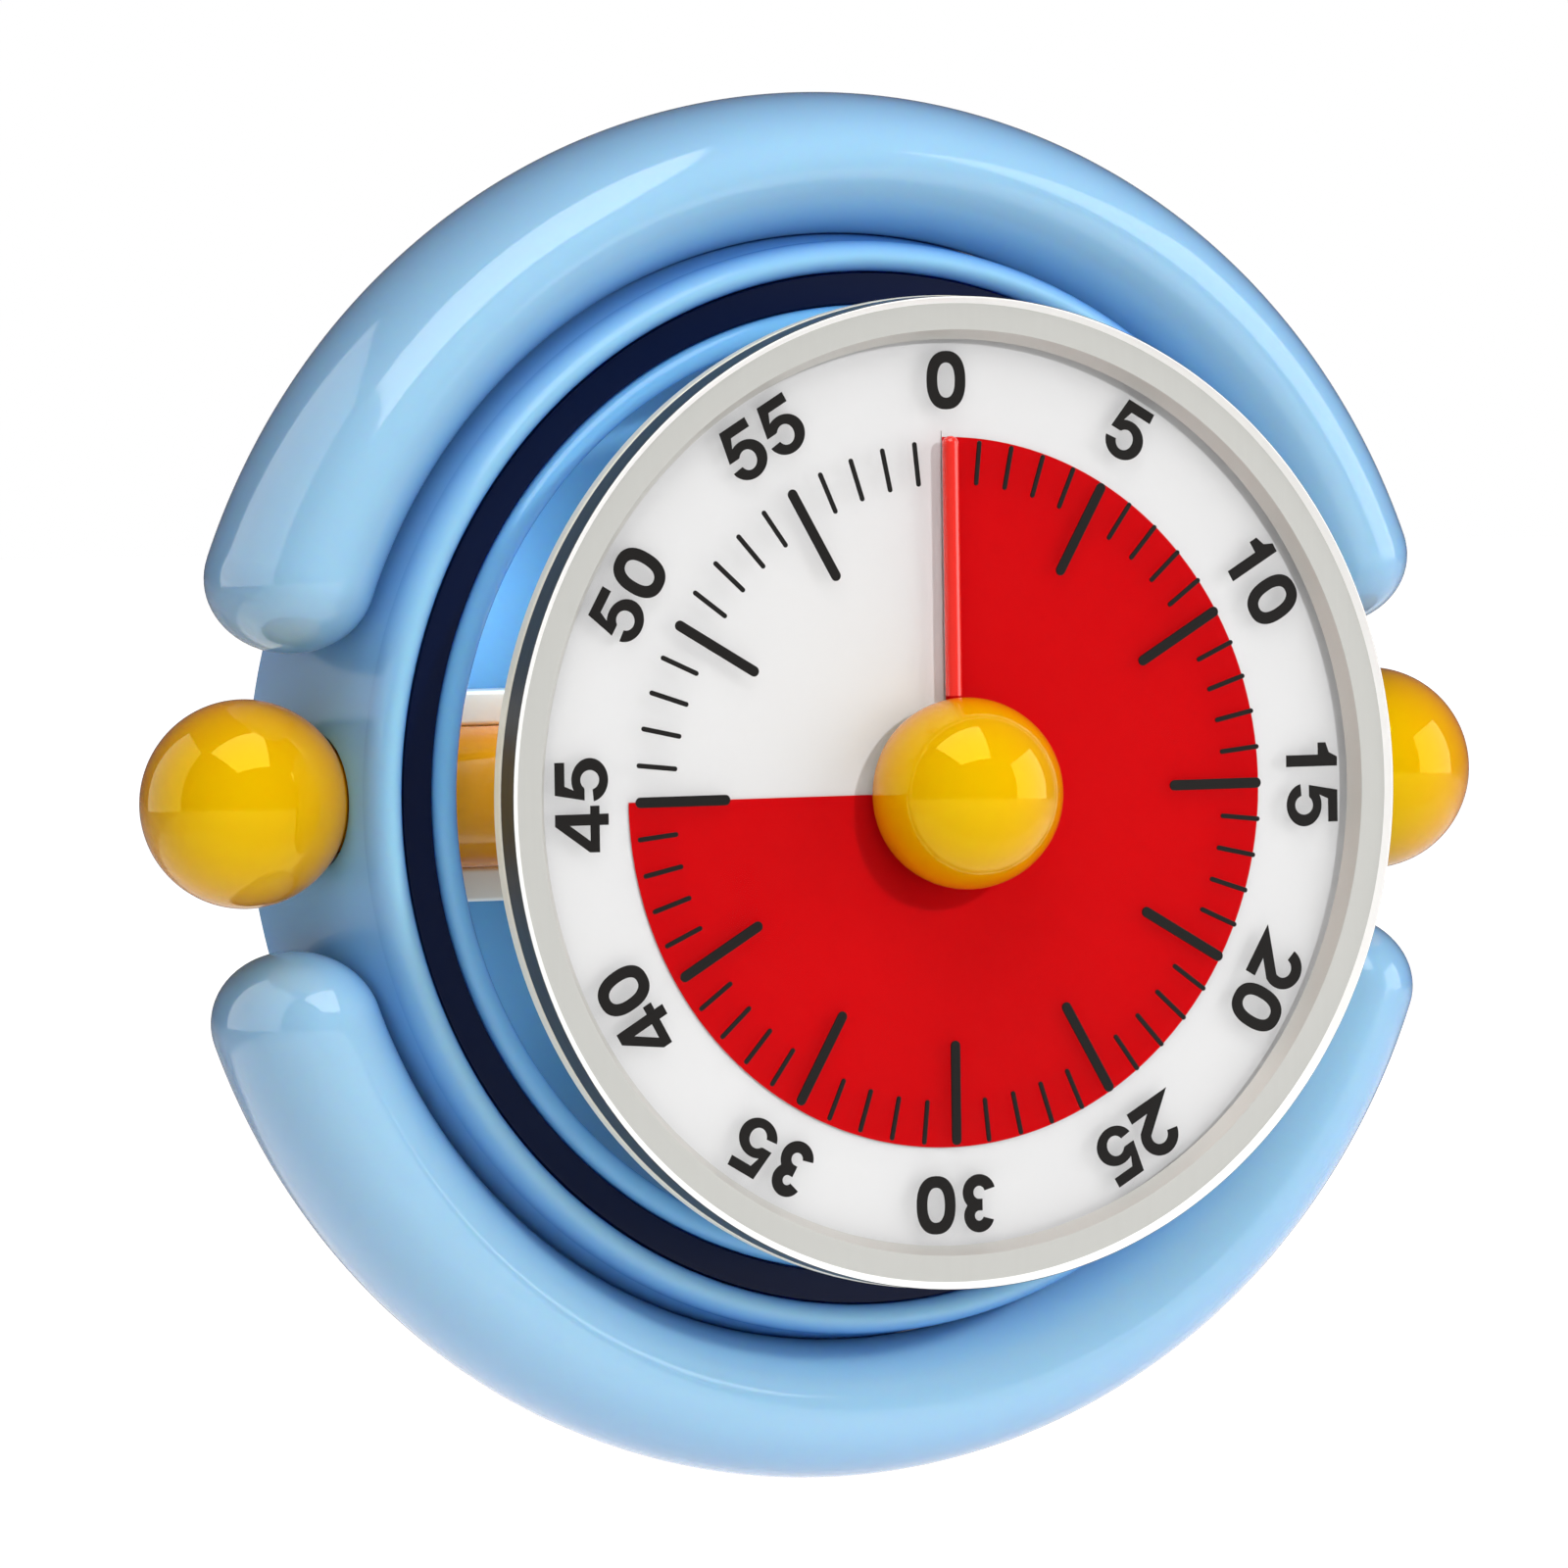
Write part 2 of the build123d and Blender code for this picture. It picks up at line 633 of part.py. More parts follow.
def hammer():
    run = math.dist(HAMMER_AT, HAMMER_HEAD_AT)
    dx, dy = HAMMER_HEAD_AT[0] - HAMMER_AT[0], HAMMER_HEAD_AT[1] - HAMMER_AT[1]
    middle = ((HAMMER_AT[0] + HAMMER_HEAD_AT[0]) / 2, (HAMMER_AT[1] + HAMMER_HEAD_AT[1]) / 2)
    arm = Rot(0, 0, math.degrees(math.atan2(dy, dx))) * extrude(SlotCenterToCenter(run, 1.2), 0.8)
    body = Pos(middle[0], middle[1], 22.4) * arm
    body += disc(1.3, 21.2, 24.4, HAMMER_AT) + disc(1.2, 21.6, 25.0, HAMMER_HEAD_AT)
    return body - disc(PIVOT_R + HOLE_PLAY, 0, 50, HAMMER_AT)


def post_at(at):
    return disc(PIVOT_R, REAR_PLATE[0], FRONT_PLATE[1], at)


def mainspring():
    """A flat spiral ribbon between the arbor and its outer end."""
    turns, steps = SPRING_TURNS, SPRING_TURNS * 12
    edges = []
    for shift in (0.0, SPRING_T):
        points = []
        for i in range(steps + 1):
            share = i / steps
            radius = SPRING_IN + shift + (SPRING_OUT - SPRING_IN) * share
            points.append(polar((0, 0), radius, 360 * turns * share))
        edges.append(points)
    inner, outer = edges
    outline = Spline(*inner) + Line(inner[-1], outer[-1]) + Spline(*outer) + Line(outer[0], inner[0])
    low, high = SPRING_Z
    return Pos(0, 0, low) * extrude(make_face(outline), high - low)


def winding_arbor():
    body = disc(ARBOR_R, ARBOR_START, KNOB_Z)
    return body - block((1.1, 3), (-3, 3), (KNOB_FLAT_Z + 0.5, KNOB_Z + 1))


def centre_knob():
    ball = Pos(0, 0, KNOB_Z) * Sphere(KNOB_R)
    ball -= disc(20, KNOB_FLAT_Z - 20, KNOB_FLAT_Z)
    hole = disc(ARBOR_R + 0.02, KNOB_FLAT_Z - 1, KNOB_Z + 0.05)
    return ball - (hole - block((1.12, 3), (-3, 3), (KNOB_FLAT_Z + 0.52, KNOB_Z + 1)))


def pillars_and_screws():
    pillars = []
    screws = []
    low, high = REAR_PLATE[1], FRONT_PLATE[0]
    for angle in PILLAR_ANGLES:
        at = clock(PILLAR_RING_R, angle)
        pillars.append(ring(SCREW_HOLE_R, PILLAR_R, low, high, at))
        body = disc(1.5, FRONT_PLATE[1], FRONT_PLATE[1] + 0.8, at)
        screws.append(body + disc(SCREW_R, REAR_PLATE[0], FRONT_PLATE[1], at))
    return pillars, screws


def save_movement():
    arbors = train()
    escape = arbors["escape"][0]
    pallet = pallet_at(escape)
    spindles = [place for place, phase in arbors.values()]
    posts = [BELL_AT, HAMMER_AT, pallet]
    save("movement_rear_plate", movement_plate(*REAR_PLATE, spindles, posts))
    save("movement_front_plate", movement_plate(*FRONT_PLATE, spindles, posts))
    pillars, screws = pillars_and_screws()
    save("movement_pillars", *pillars)
    save("movement_screws", *screws)
    save("main_wheel", gear(MAIN, (0, 0), ARBOR_R + 0.02, 0))
    save("second_arbor", staff(arbors["second"][0], SECOND_PINION, arbors["second"][1]))
    save("second_wheel", train_wheel(SECOND_WHEEL, arbors["second"][0]))
    save("third_arbor", staff(arbors["third"][0], THIRD_PINION, arbors["third"][1]))
    save("third_wheel", train_wheel(THIRD_WHEEL, arbors["third"][0]))
    save("escape_arbor", staff(escape, ESCAPE_PINION, arbors["escape"][1]))
    save("escape_wheel", escape_wheel(escape))
    save("pallet_lever", pallet_lever(escape))
    save("pallet_post", post_at(pallet))
    save("hammer_post", post_at(HAMMER_AT))
    save("bell", bell())
    save("bell_post", bell_post())
    save("hammer", hammer())
    save("mainspring", mainspring())
    save("winding_arbor", winding_arbor())
    save("centre_knob", centre_knob())
    for name, (at, phase) in arbors.items():
        print(name, "arbor at", round(at[0], 4), round(at[1], 4))
    print("pallet at", round(pallet[0], 4), round(pallet[1], 4))


save_frame()
save_axle()
save_head()
save_movement()
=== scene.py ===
import math

import bmesh
import bpy
from bpy.props import FloatProperty, FloatVectorProperty, PointerProperty
from mathutils import Matrix, Vector


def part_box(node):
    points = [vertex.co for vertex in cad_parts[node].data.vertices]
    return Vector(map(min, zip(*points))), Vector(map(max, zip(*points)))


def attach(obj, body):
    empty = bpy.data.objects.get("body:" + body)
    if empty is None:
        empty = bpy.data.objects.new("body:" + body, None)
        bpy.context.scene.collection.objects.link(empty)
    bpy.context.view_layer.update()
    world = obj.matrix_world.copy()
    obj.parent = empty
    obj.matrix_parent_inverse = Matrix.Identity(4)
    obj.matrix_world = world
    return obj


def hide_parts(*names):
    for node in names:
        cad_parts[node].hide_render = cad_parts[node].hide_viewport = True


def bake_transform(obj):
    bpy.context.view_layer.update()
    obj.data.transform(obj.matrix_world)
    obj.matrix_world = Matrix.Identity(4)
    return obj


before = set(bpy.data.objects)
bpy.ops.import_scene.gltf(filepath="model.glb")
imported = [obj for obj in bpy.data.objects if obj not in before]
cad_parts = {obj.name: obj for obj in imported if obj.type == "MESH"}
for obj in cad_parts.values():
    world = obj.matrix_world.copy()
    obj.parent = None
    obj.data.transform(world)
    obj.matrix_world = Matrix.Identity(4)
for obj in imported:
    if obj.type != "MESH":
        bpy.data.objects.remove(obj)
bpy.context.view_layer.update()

bl_info = {
    "name": "Kitchen Timer",
    "version": (1, 0, 0),
    "blender": (4, 5, 0),
    "location": "View3D > Sidebar > Timer",
    "description": "Builds the pieces of a round magnetic kitchen timer on its frame",
    "category": "Add Mesh",
}

# Pieces are drawn in a front view: x is right, y is up and z is the height above the back face.
# FRONT carries a drawing to where the piece stands. Profiles are in millimetres, and sizes in metres.
MM = 0.001
FRONT = Matrix(((1, 0, 0, 0), (0, 0, -1, 0), (0, 1, 0, 0), (0, 0, 0, 1)))
AXLE_DEPTH = -(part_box("axle")[0].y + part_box("axle")[1].y) / 2
ALONG_AXLE = Matrix.Translation((0, -AXLE_DEPTH, 0)) @ Matrix.Rotation(math.radians(90), 4, "Y")

FULL_TURN = 2 * math.pi
RING_STEPS = 288
KNOB_STEPS = 128
SMALL_STEPS = 64


def length(name, description, default):
    return FloatProperty(name=name, description=description, default=default, min=0.0, unit="LENGTH")


def paint(name, description, red, green, blue):
    """A colour setting whose default is given in eight-bit steps, as a paint chart gives it."""
    steps = [value / 255 for value in (red, green, blue)]
    linear = [s / 12.92 if s <= 0.04045 else ((s + 0.055) / 1.055) ** 2.4 for s in steps]
    return FloatVectorProperty(
        name=name, description=description, default=linear, size=3, min=0.0, max=1.0, subtype="COLOR"
    )


class TimerSizes(bpy.types.PropertyGroup):
    """Sizes of the pieces that show"""

    drum_back_radius: length("Drum back radius", "Outer radius of the drum at its back edge", 0.04715)
    drum_front_radius: length("Drum front radius", "Outer radius of the drum below its ring", 0.04445)
    ring_radius: length("Raised ring radius", "Middle radius of the drum's raised front ring", 0.04298)
    ring_half_width: length("Raised ring half width", "Half the width of the raised ring", 0.00108)
    rim_height: length("Rim height", "Height of the drum's front rim above the back face", 0.0205)
    liner_inner_radius: length("Liner inner radius", "Inner radius of the deep cup in the drum", 0.0372)
    liner_outer_radius: length("Liner outer radius", "Outer radius of the deep cup in the drum", 0.0392)
    groove_height: length("Groove height", "Height of the dark groove ring above the back face", 0.0195)
    bumper_radius: length("Bumper radius", "Radius of the bumper's middle line", 0.0506)
    bumper_half_width: length("Bumper half width", "Half the bumper's thickness, outwards", 0.006)
    bumper_half_depth: length("Bumper half depth", "Half the bumper's depth, front to back", 0.010)
    axle_radius: length("Axle radius", "Radius of the tilting axle", 0.0057)
    journal_radius: length("Journal radius", "Radius of the thin ends of the axle", 0.0042)
    bush_radius: length("Bush radius", "Outer radius of the two axle bushes", 0.005)
    ball_radius: length("Ball radius", "Radius of the side ball knobs", 0.0084)
    ball_place: length("Ball place", "Distance from the middle to the centre of each side ball", 0.0516)
    knob_radius: length("Knob radius", "Radius of the centre knob", 0.0077)
    knob_height: length("Knob height", "Height of the centre of the knob above the back face", 0.0366)
    knob_flat: length("Knob flat", "Height of the flat under the knob above the back face", 0.03405)
    case_radius: length("Case rim radius", "Outer radius of the dial case at its rim", 0.03985)
    bezel_radius: length("Bezel radius", "Outer radius of the bezel", 0.0398)
    bezel_lip_radius: length("Bezel lip radius", "Inner radius of the bezel", 0.03635)
    bezel_ring_height: length("Bezel ring height", "Height of the bezel's flat ring", 0.03502)
    bezel_height: length("Bezel height", "Height of the bezel's raised edge", 0.0355)
    face_radius: length("Face radius", "Radius of the face plate and the window", 0.0376)
    window_height: length("Window height", "Height of the window's front above the back face", 0.03385)
    mark_height: length("Mark height", "How far the minute marks and numerals stand proud", 0.00015)
    sheet_radius: length("Sheet radius", "Radius of the red time sheet", 0.0285)
    rod_radius: length("Rod radius", "Radius of the index rod", 0.00067)


class TimerColours(bpy.types.PropertyGroup):
    """Colours of the mouldings, the print and the metals"""

    shell: paint("Shell blue", "Light blue of the drum", 152, 205, 241)
    liner: paint("Liner blue", "Light blue of the cup in the drum", 122, 187, 240)
    # Painted shade: the light blue pieces are blended towards this blue where they are seen at a slant,
    # standing for the shade at their edges and creases.
    deep: paint("Deep blue", "Blue of the light blue pieces, seen at a slant", 24, 112, 208)
    axle: paint("Axle yellow", "Warm yellow of the axle", 255, 176, 0)
    bumper: paint("Bumper blue", "Light blue of the two bumpers", 159, 206, 235)
    groove: paint("Navy", "Navy of the groove ring", 0, 14, 50)
    cream: paint("Cream", "Cream of the case, the bushes and the cradles", 240, 236, 222)
    yellow: paint("Yellow", "Yellow of the knobs", 236, 187, 0)
    # Painted shade: the axle and the knobs are blended towards this deep yellow where they are seen at
    # a slant, standing for the shade at their edges.
    amber: paint("Amber", "Deep yellow at the edges of the axle and the knobs", 208, 96, 0)
    face: paint("Face white", "White of the face plate", 226, 226, 227)
    marks: paint("Mark black", "Black of the minute marks and numerals", 28, 26, 25)
    sheet: paint("Sheet red", "Red of the time sheet", 203, 0, 7)
    rod: paint("Rod red", "Red of the index rod", 238, 44, 34)
    bezel: paint("Bezel grey", "Satin grey of the bezel", 196, 196, 192)
    # Painted highlight: the bezel's raised edge is near-white to stand for the light that it catches.
    edge: paint("Bezel edge", "Bright edge of the bezel", 252, 252, 251)
    side: paint("Bezel side", "Dark polished side of the bezel", 44, 43, 44)
    brass: paint("Brass", "Brass of the wheels and plates", 214, 176, 98)
    steel: paint("Steel", "Steel of the arbors, screws and bell", 186, 188, 190)
    magnet: paint("Magnet", "Nickel plating of the magnets", 168, 168, 166)
    rubber: paint("Rubber", "Dark rubber of the grip ring", 34, 35, 38)
    floor: paint("Floor", "Pale studio floor", 236, 236, 235)


def sizes():
    return bpy.context.scene.kitchen_timer_sizes


def colours():
    return bpy.context.scene.kitchen_timer_colours


# Shader groups


def new_group(name, colours_in, values_in):
    """An empty shader node group with named sockets, and its input node."""
    group = bpy.data.node_groups.new(name, "ShaderNodeTree")
    for title in colours_in:
        socket = group.interface.new_socket(title, in_out="INPUT", socket_type="NodeSocketColor")
        socket.default_value = (1, 1, 1, 1)
    for title, value in values_in:
        socket = group.interface.new_socket(title, in_out="INPUT", socket_type="NodeSocketFloat")
        socket.default_value = value
    return group, group.nodes.new("NodeGroupInput")


def close_group(group, colour, rough, height):
    """Gives the group its three outputs."""
    made = group.nodes.new("NodeGroupOutput")
    results = (("Colour", "Color", colour), ("Roughness", "Float", rough), ("Height", "Float", height))
    for title, kind, source in results:
        group.interface.new_socket(title, in_out="OUTPUT", socket_type="NodeSocket" + kind)
        group.links.new(source, made.inputs[title])
    return group


def noise(group, place, scale_from, detail):
    """Noise whose scale comes from a socket."""
    texture = group.nodes.new("ShaderNodeTexNoise")
    texture.inputs["Detail"].default_value = detail
    group.links.new(place, texture.inputs["Vector"])
    group.links.new(scale_from, texture.inputs["Scale"])
    return texture.outputs["Fac"]


def math_node(group, operation, *values):
    """A sum of two values, each of which is a number or comes from a socket."""
    node = group.nodes.new("ShaderNodeMath")
    node.operation = operation
    for socket, value in zip(node.inputs, values):
        if isinstance(value, (int, float)):
            socket.default_value = value
        else:
            group.links.new(value, socket)
    return node.outputs["Value"]


def blend_colours(group, share, first, second):
    node = group.nodes.new("ShaderNodeMix")
    node.data_type = "RGBA"
    group.links.new(share, node.inputs["Factor"])
    group.links.new(first, node.inputs["A"])
    group.links.new(second, node.inputs["B"])
    return node.outputs["Result"]


def moulded_skin():
    """Cloudy pigment, uneven polish and a faint orange-peel height, for moulded plastic."""
    found = bpy.data.node_groups.get("Moulded Skin")
    if found:
        return found
    values = (("Cloud Scale", 60.0), ("Cloud Share", 0.5), ("Polish", 0.2), ("Polish Spread", 0.05))
    group, given = new_group(
        "Moulded Skin", ("Colour", "Deep Colour"), (*values, ("Peel Scale", 900.0))
    )
    place = group.nodes.new("ShaderNodeTexCoord").outputs["Object"]
    cloud = noise(group, place, given.outputs["Cloud Scale"], 3.0)
    share = math_node(group, "MULTIPLY", cloud, given.outputs["Cloud Share"])
    colour = blend_colours(group, share, given.outputs["Colour"], given.outputs["Deep Colour"])
    peel = noise(group, place, given.outputs["Peel Scale"], 2.0)
    off_middle = math_node(group, "SUBTRACT", cloud, 0.5)
    spread = math_node(group, "MULTIPLY", off_middle, given.outputs["Polish Spread"])
    rough = math_node(group, "ADD", given.outputs["Polish"], spread)
    return close_group(group, colour, rough, peel)


def brushed_metal():
    """Fine lines left by turning and brushing, with a slight change of tone along them."""
    found = bpy.data.node_groups.get("Brushed Metal")
    if found:
        return found
    values = (("Line Scale", 1200.0), ("Polish", 0.3), ("Polish Spread", 0.1))
    group, given = new_group("Brushed Metal", ("Colour", "Dull Colour"), values)
    place = group.nodes.new("ShaderNodeTexCoord").outputs["Object"]
    stretch = group.nodes.new("ShaderNodeMapping")
    stretch.inputs["Scale"].default_value = (1.0, 1.0, 0.04)
    group.links.new(place, stretch.inputs["Vector"])
    lines = noise(group, stretch.outputs["Vector"], given.outputs["Line Scale"], 2.0)
    colour = blend_colours(group, lines, given.outputs["Colour"], given.outputs["Dull Colour"])
    spread = math_node(group, "MULTIPLY", lines, given.outputs["Polish Spread"])
    rough = math_node(group, "ADD", given.outputs["Polish"], spread)
    return close_group(group, colour, rough, lines)


def finish_material(name, group, settings, bump, **sockets):
    """A material whose colour, roughness and bump come from a group, with plain shader settings."""
    found = bpy.data.materials.get(name)
    if found:
        return found
    material = bpy.data.materials.new(name)
    material.use_nodes = True
    tree = material.node_tree
    shader = tree.nodes["Principled BSDF"]
    source = tree.nodes.new("ShaderNodeGroup")
    source.node_tree = group
    for title, value in settings.items():
        source.inputs[title].default_value = value
    tree.links.new(source.outputs["Colour"], shader.inputs["Base Color"])
    tree.links.new(source.outputs["Roughness"], shader.inputs["Roughness"])
    relief = tree.nodes.new("ShaderNodeBump")
    relief.inputs["Strength"].default_value = bump[0]
    relief.inputs["Distance"].default_value = bump[1]
    tree.links.new(source.outputs["Height"], relief.inputs["Height"])
    tree.links.new(relief.outputs["Normal"], shader.inputs["Normal"])
    for title, value in sockets.items():
        shader.inputs[title.replace("_", " ")].default_value = value
    return material


def plastic(name, colour, deeper=0.9, polish=0.12, spread=0.04, coat=0.6, bump=0.04, **sockets):
    """Glossy moulded plastic."""
    settings = {
        "Colour": (*colour, 1),
        "Deep Colour": (*[value * deeper for value in colour], 1),
        "Cloud Scale": 45.0,
        "Cloud Share": 0.6,
        "Polish": polish,
        "Polish Spread": spread,
        "Peel Scale": 700.0,
    }
    values = {"Coat_Weight": coat, "Coat_Roughness": 0.02, **sockets}
    return finish_material(name, moulded_skin(), settings, (bump, 0.0002), **values)


def deep_plastic(name, colour, deep, blend, **looks):
    """Moulded plastic whose colour is blended towards a deeper colour where it is seen at a slant:
    painted shade at its edges and creases.
    """
    found = bpy.data.materials.get(name)
    if found:
        return found
    made = plastic(name, colour, **looks)
    tree = made.node_tree
    shader = tree.nodes["Principled BSDF"]
    # The slant blend paints shade into the base colour, darker towards the edges as seen from the
    # camera.
    slant = tree.nodes.new("ShaderNodeLayerWeight")
    slant.inputs["Blend"].default_value = blend
    mix = tree.nodes.new("ShaderNodeMix")
    mix.data_type = "RGBA"
    mix.inputs["B"].default_value = (*getattr(colours(), deep), 1)
    tree.links.new(slant.outputs["Facing"], mix.inputs["Factor"])
    tree.links.new(shader.inputs["Base Color"].links[0].from_socket, mix.inputs["A"])
    tree.links.new(mix.outputs["Result"], shader.inputs["Base Color"])
    return made


def metal(name, colour, dull=0.8, polish=0.3, spread=0.12, lines=1200.0, bump=0.05, metallic=1.0):
    settings = {
        "Colour": (*colour, 1),
        "Dull Colour": (*[value * dull for value in colour], 1),
        "Line Scale": lines,
        "Polish": polish,
        "Polish Spread": spread,
    }
    return finish_material(name, brushed_metal(), settings, (bump, 0.0002), Metallic=metallic)


def depth(weight, radius, scale):
    """Light that passes a little way into a plastic."""
    return {"Subsurface_Weight": weight, "Subsurface_Radius": radius, "Subsurface_Scale": scale}


def shine(level):
    return {"Specular_IOR_Level": level}


# Painted shade: the blue pieces turn to the deep blue where they are seen at a slant.
BLUE = {"kind": deep_plastic, "deep": "deep", **depth(0.4, (0.12, 0.4, 1.0), 0.004)}
# Painted shade: the yellow pieces turn amber where they are seen at a slant.
AMBER_SLANT_SHADE = {"kind": deep_plastic, "deep": "amber"}
YELLOW = {**AMBER_SLANT_SHADE, "coat": 0.0, **depth(0.25, (1.0, 0.3, 0.03), 0.003), **shine(0.9)}
GOLDEN_SHINE = {"Specular_Tint": (1.0, 0.95, 0.08, 1.0)}

# Each finish by its name: the colour setting, then what differs from plain moulded plastic.
FINISHES = {
    "drum blue": ("shell", {**BLUE, "blend": 0.32, "polish": 0.2, "coat": 0.1, **shine(0.35)}),
    "cup blue": ("liner", {**BLUE, "blend": 0.3, "coat": 0.2, **shine(0.35)}),
    "bumper skin": ("bumper", {**BLUE, "blend": 0.15, "polish": 0.1, "coat": 0.4}),
    "groove navy": ("groove", {"polish": 0.3, "coat": 0.0, **shine(0.2)}),
    "case cream": ("cream", {"deeper": 0.96, "polish": 0.3, "coat": 0.25}),
    "knob yellow": (
        "yellow",
        {**YELLOW, "blend": 0.3, "polish": 0.03, "spread": 0.01, "bump": 0.01, **GOLDEN_SHINE},
    ),
    "axle yellow": ("axle", {**AMBER_SLANT_SHADE, "blend": 0.45, "polish": 0.08, "coat": 0.2, **shine(0.4)}),
    "face card": ("face", {"deeper": 0.985, "polish": 0.55, "coat": 0.0}),
    "mark ink": ("marks", {"deeper": 0.7, "polish": 0.4, "coat": 0.0, **shine(0.15)}),
    "sheet film": ("sheet", {"deeper": 0.93, "polish": 0.6, "coat": 0.0, **shine(0.0)}),
    "rod skin": ("rod", {"deeper": 0.92, "polish": 0.12, "coat": 0.5}),
    "bezel satin": (
        "bezel",
        {"kind": metal, "dull": 0.97, "polish": 0.42, "spread": 0.06, "metallic": 0.3},
    ),
    "bezel bright": ("edge", {"deeper": 0.99, "polish": 0.3, "coat": 0.6}),
    "bezel dark": (
        "side",
        {"kind": metal, "dull": 0.7, "polish": 0.3, "spread": 0.1, "metallic": 0.15},
    ),
    "movement brass": ("brass", {"kind": metal}),
    "movement steel": ("steel", {"kind": metal, "polish": 0.22}),
    "magnet nickel": ("magnet", {"kind": metal, "polish": 0.2, "lines": 600.0}),
    "grip rubber": ("rubber", {"deeper": 0.75, "polish": 0.7, "coat": 0.0, "bump": 0.3}),
}


def finish(name):
    colour, values = FINISHES[name]
    values = dict(values)
    kind = values.pop("kind", plastic)
    return kind(name, getattr(colours(), colour), **values)


def clear_window():
    return plastic("window clear", (0.1, 0.1, 0.1), deeper=0.98, polish=0.05, coat=0.0, Alpha=0.02)


# Mesh helpers


def arc(centre, radius, start, end, steps=12):
    """Points on an arc, anticlockwise angles in degrees from the first axis."""
    points = []
    for i in range(steps + 1):
        angle = math.radians(start + (end - start) * i / steps)
        points.append((centre[0] + radius * math.cos(angle), centre[1] + radius * math.sin(angle)))
    return points


def bow(centre, across, up, start, end, steps):
    """Points on part of an upright oval."""
    return [(centre[0] + x * across, centre[1] + y * up) for x, y in arc((0, 0), 1, start, end, steps)]


def fillet(before, corner, after, radius, steps=6):
    """The points of a round between two straight edges."""
    corner = Vector(corner)
    to_before = Vector(before) - corner
    to_after = Vector(after) - corner
    opening = to_before.angle(to_after)
    reach = radius / math.tan(opening / 2)
    first = corner + to_before.normalized() * reach
    last = corner + to_after.normalized() * reach
    middle = corner + (to_before.normalized() + to_after.normalized()).normalized() * (
        radius / math.sin(opening / 2)
    )
    points = []
    for i in range(steps + 1):
        arm = (first - middle).lerp(last - middle, i / steps).normalized() * radius
        points.append(tuple(middle + arm))
    return points


def outline(corners):
    """A closed outline from (x, y) or (x, y, round) corners."""
    points = []
    for i, corner in enumerate(corners):
        if len(corner) == 2:
            points.append(corner)
            continue
        before, after = corners[i - 1][:2], corners[(i + 1) % len(corners)][:2]
        points.extend(fillet(before, corner[:2], after, corner[2]))
    return points


def join_rings(bm, ring, after, steps):
    """Faces between two closed rings of points, either of which may be a single point."""
    for k in range(steps):
        n = (k + 1) % steps
        corners = [ring[k % len(ring)], ring[n % len(ring)]]
        corners += [after[n % len(after)], after[k % len(after)]]
        bm.faces.new(list(dict.fromkeys(corners)))


def turn(bm, profile, steps, place=FRONT):
    """Turns a closed (radius, height) profile in millimetres about the drawing's own axis."""
    rings = []
    for radius, height in profile:
        if radius < 1e-6:
            rings.append([bm.verts.new(place @ Vector((0, 0, height * MM)))])
            continue
        ring = []
        for i in range(steps):
            angle = FULL_TURN * i / steps
            flat = (radius * MM * math.cos(angle), radius * MM * math.sin(angle), height * MM)
            ring.append(bm.verts.new(place @ Vector(flat)))
        rings.append(ring)
    for i, ring in enumerate(rings):
        after = rings[(i + 1) % len(rings)]
        if len(ring) > 1 or len(after) > 1:
            join_rings(bm, ring, after, steps)
    bmesh.ops.recalc_face_normals(bm, faces=bm.faces)


def prism(bm, polygon, low, high, place):
    """A straight bar of one cross-section, in millimetres, between two heights."""
    ends = []
    for height in (low, high):
        ends.append([bm.verts.new(place @ Vector((x * MM, y * MM, height * MM))) for x, y in polygon])
    bm.faces.new(list(reversed(ends[0])))
    bm.faces.new(ends[1])
    count = len(polygon)
    for k in range(count):
        n = (k + 1) % count
        bm.faces.new((ends[0][k], ends[0][n], ends[1][n], ends[1][k]))
    bmesh.ops.recalc_face_normals(bm, faces=bm.faces)


def loose_object(name, bm):
    mesh = bpy.data.meshes.new(name)
    bm.to_mesh(mesh)
    bm.free()
    piece = bpy.data.objects.new(name, mesh)
    bpy.context.scene.collection.objects.link(piece)
    return piece


def lathe(name, profile, steps, place=FRONT):
    """A loose object turned from one profile."""
    bm = bmesh.new()
    turn(bm, profile, steps, place)
    return loose_object(name, bm)


def apply_modifiers(piece):
    """Gives the piece the mesh that its modifiers make."""
    graph = bpy.context.evaluated_depsgraph_get()
    made = bpy.data.meshes.new_from_object(piece.evaluated_get(graph))
    piece.modifiers.clear()
    piece.data = made


def cut_away(piece, cutter):
    modifier = piece.modifiers.new("cut", "BOOLEAN")
    modifier.operation = "DIFFERENCE"
    modifier.solver = "EXACT"
    modifier.object = cutter
    apply_modifiers(piece)
    bpy.data.objects.remove(cutter)


def round_edges(piece, width, segments=3, angle=40):
    modifier = piece.modifiers.new("round", "BEVEL")
    modifier.width = width * MM
    modifier.segments = segments
    modifier.limit_method = "ANGLE"
    modifier.angle_limit = math.radians(angle)
    apply_modifiers(piece)


def smooth(piece, angle=38):
    """Smooth shading up to an angle, with the large faces kept flat beside small rounds."""
    piece.data.shade_smooth()
    piece.data.set_sharp_from_angle(angle=math.radians(angle))
    modifier = piece.modifiers.new("even", "WEIGHTED_NORMAL")
    modifier.keep_sharp = True
    modifier.weight = 60
    apply_modifiers(piece)


def place_piece(piece, material, body, slot, *nodes, angle=38):
    """Finishes a piece: shading, material, the body it rides on and the CAD nodes it stands for."""
    smooth(piece, angle)
    piece.data.materials.clear()
    piece.data.materials.append(material)
    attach(piece, body)
    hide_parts(*nodes)
    return piece


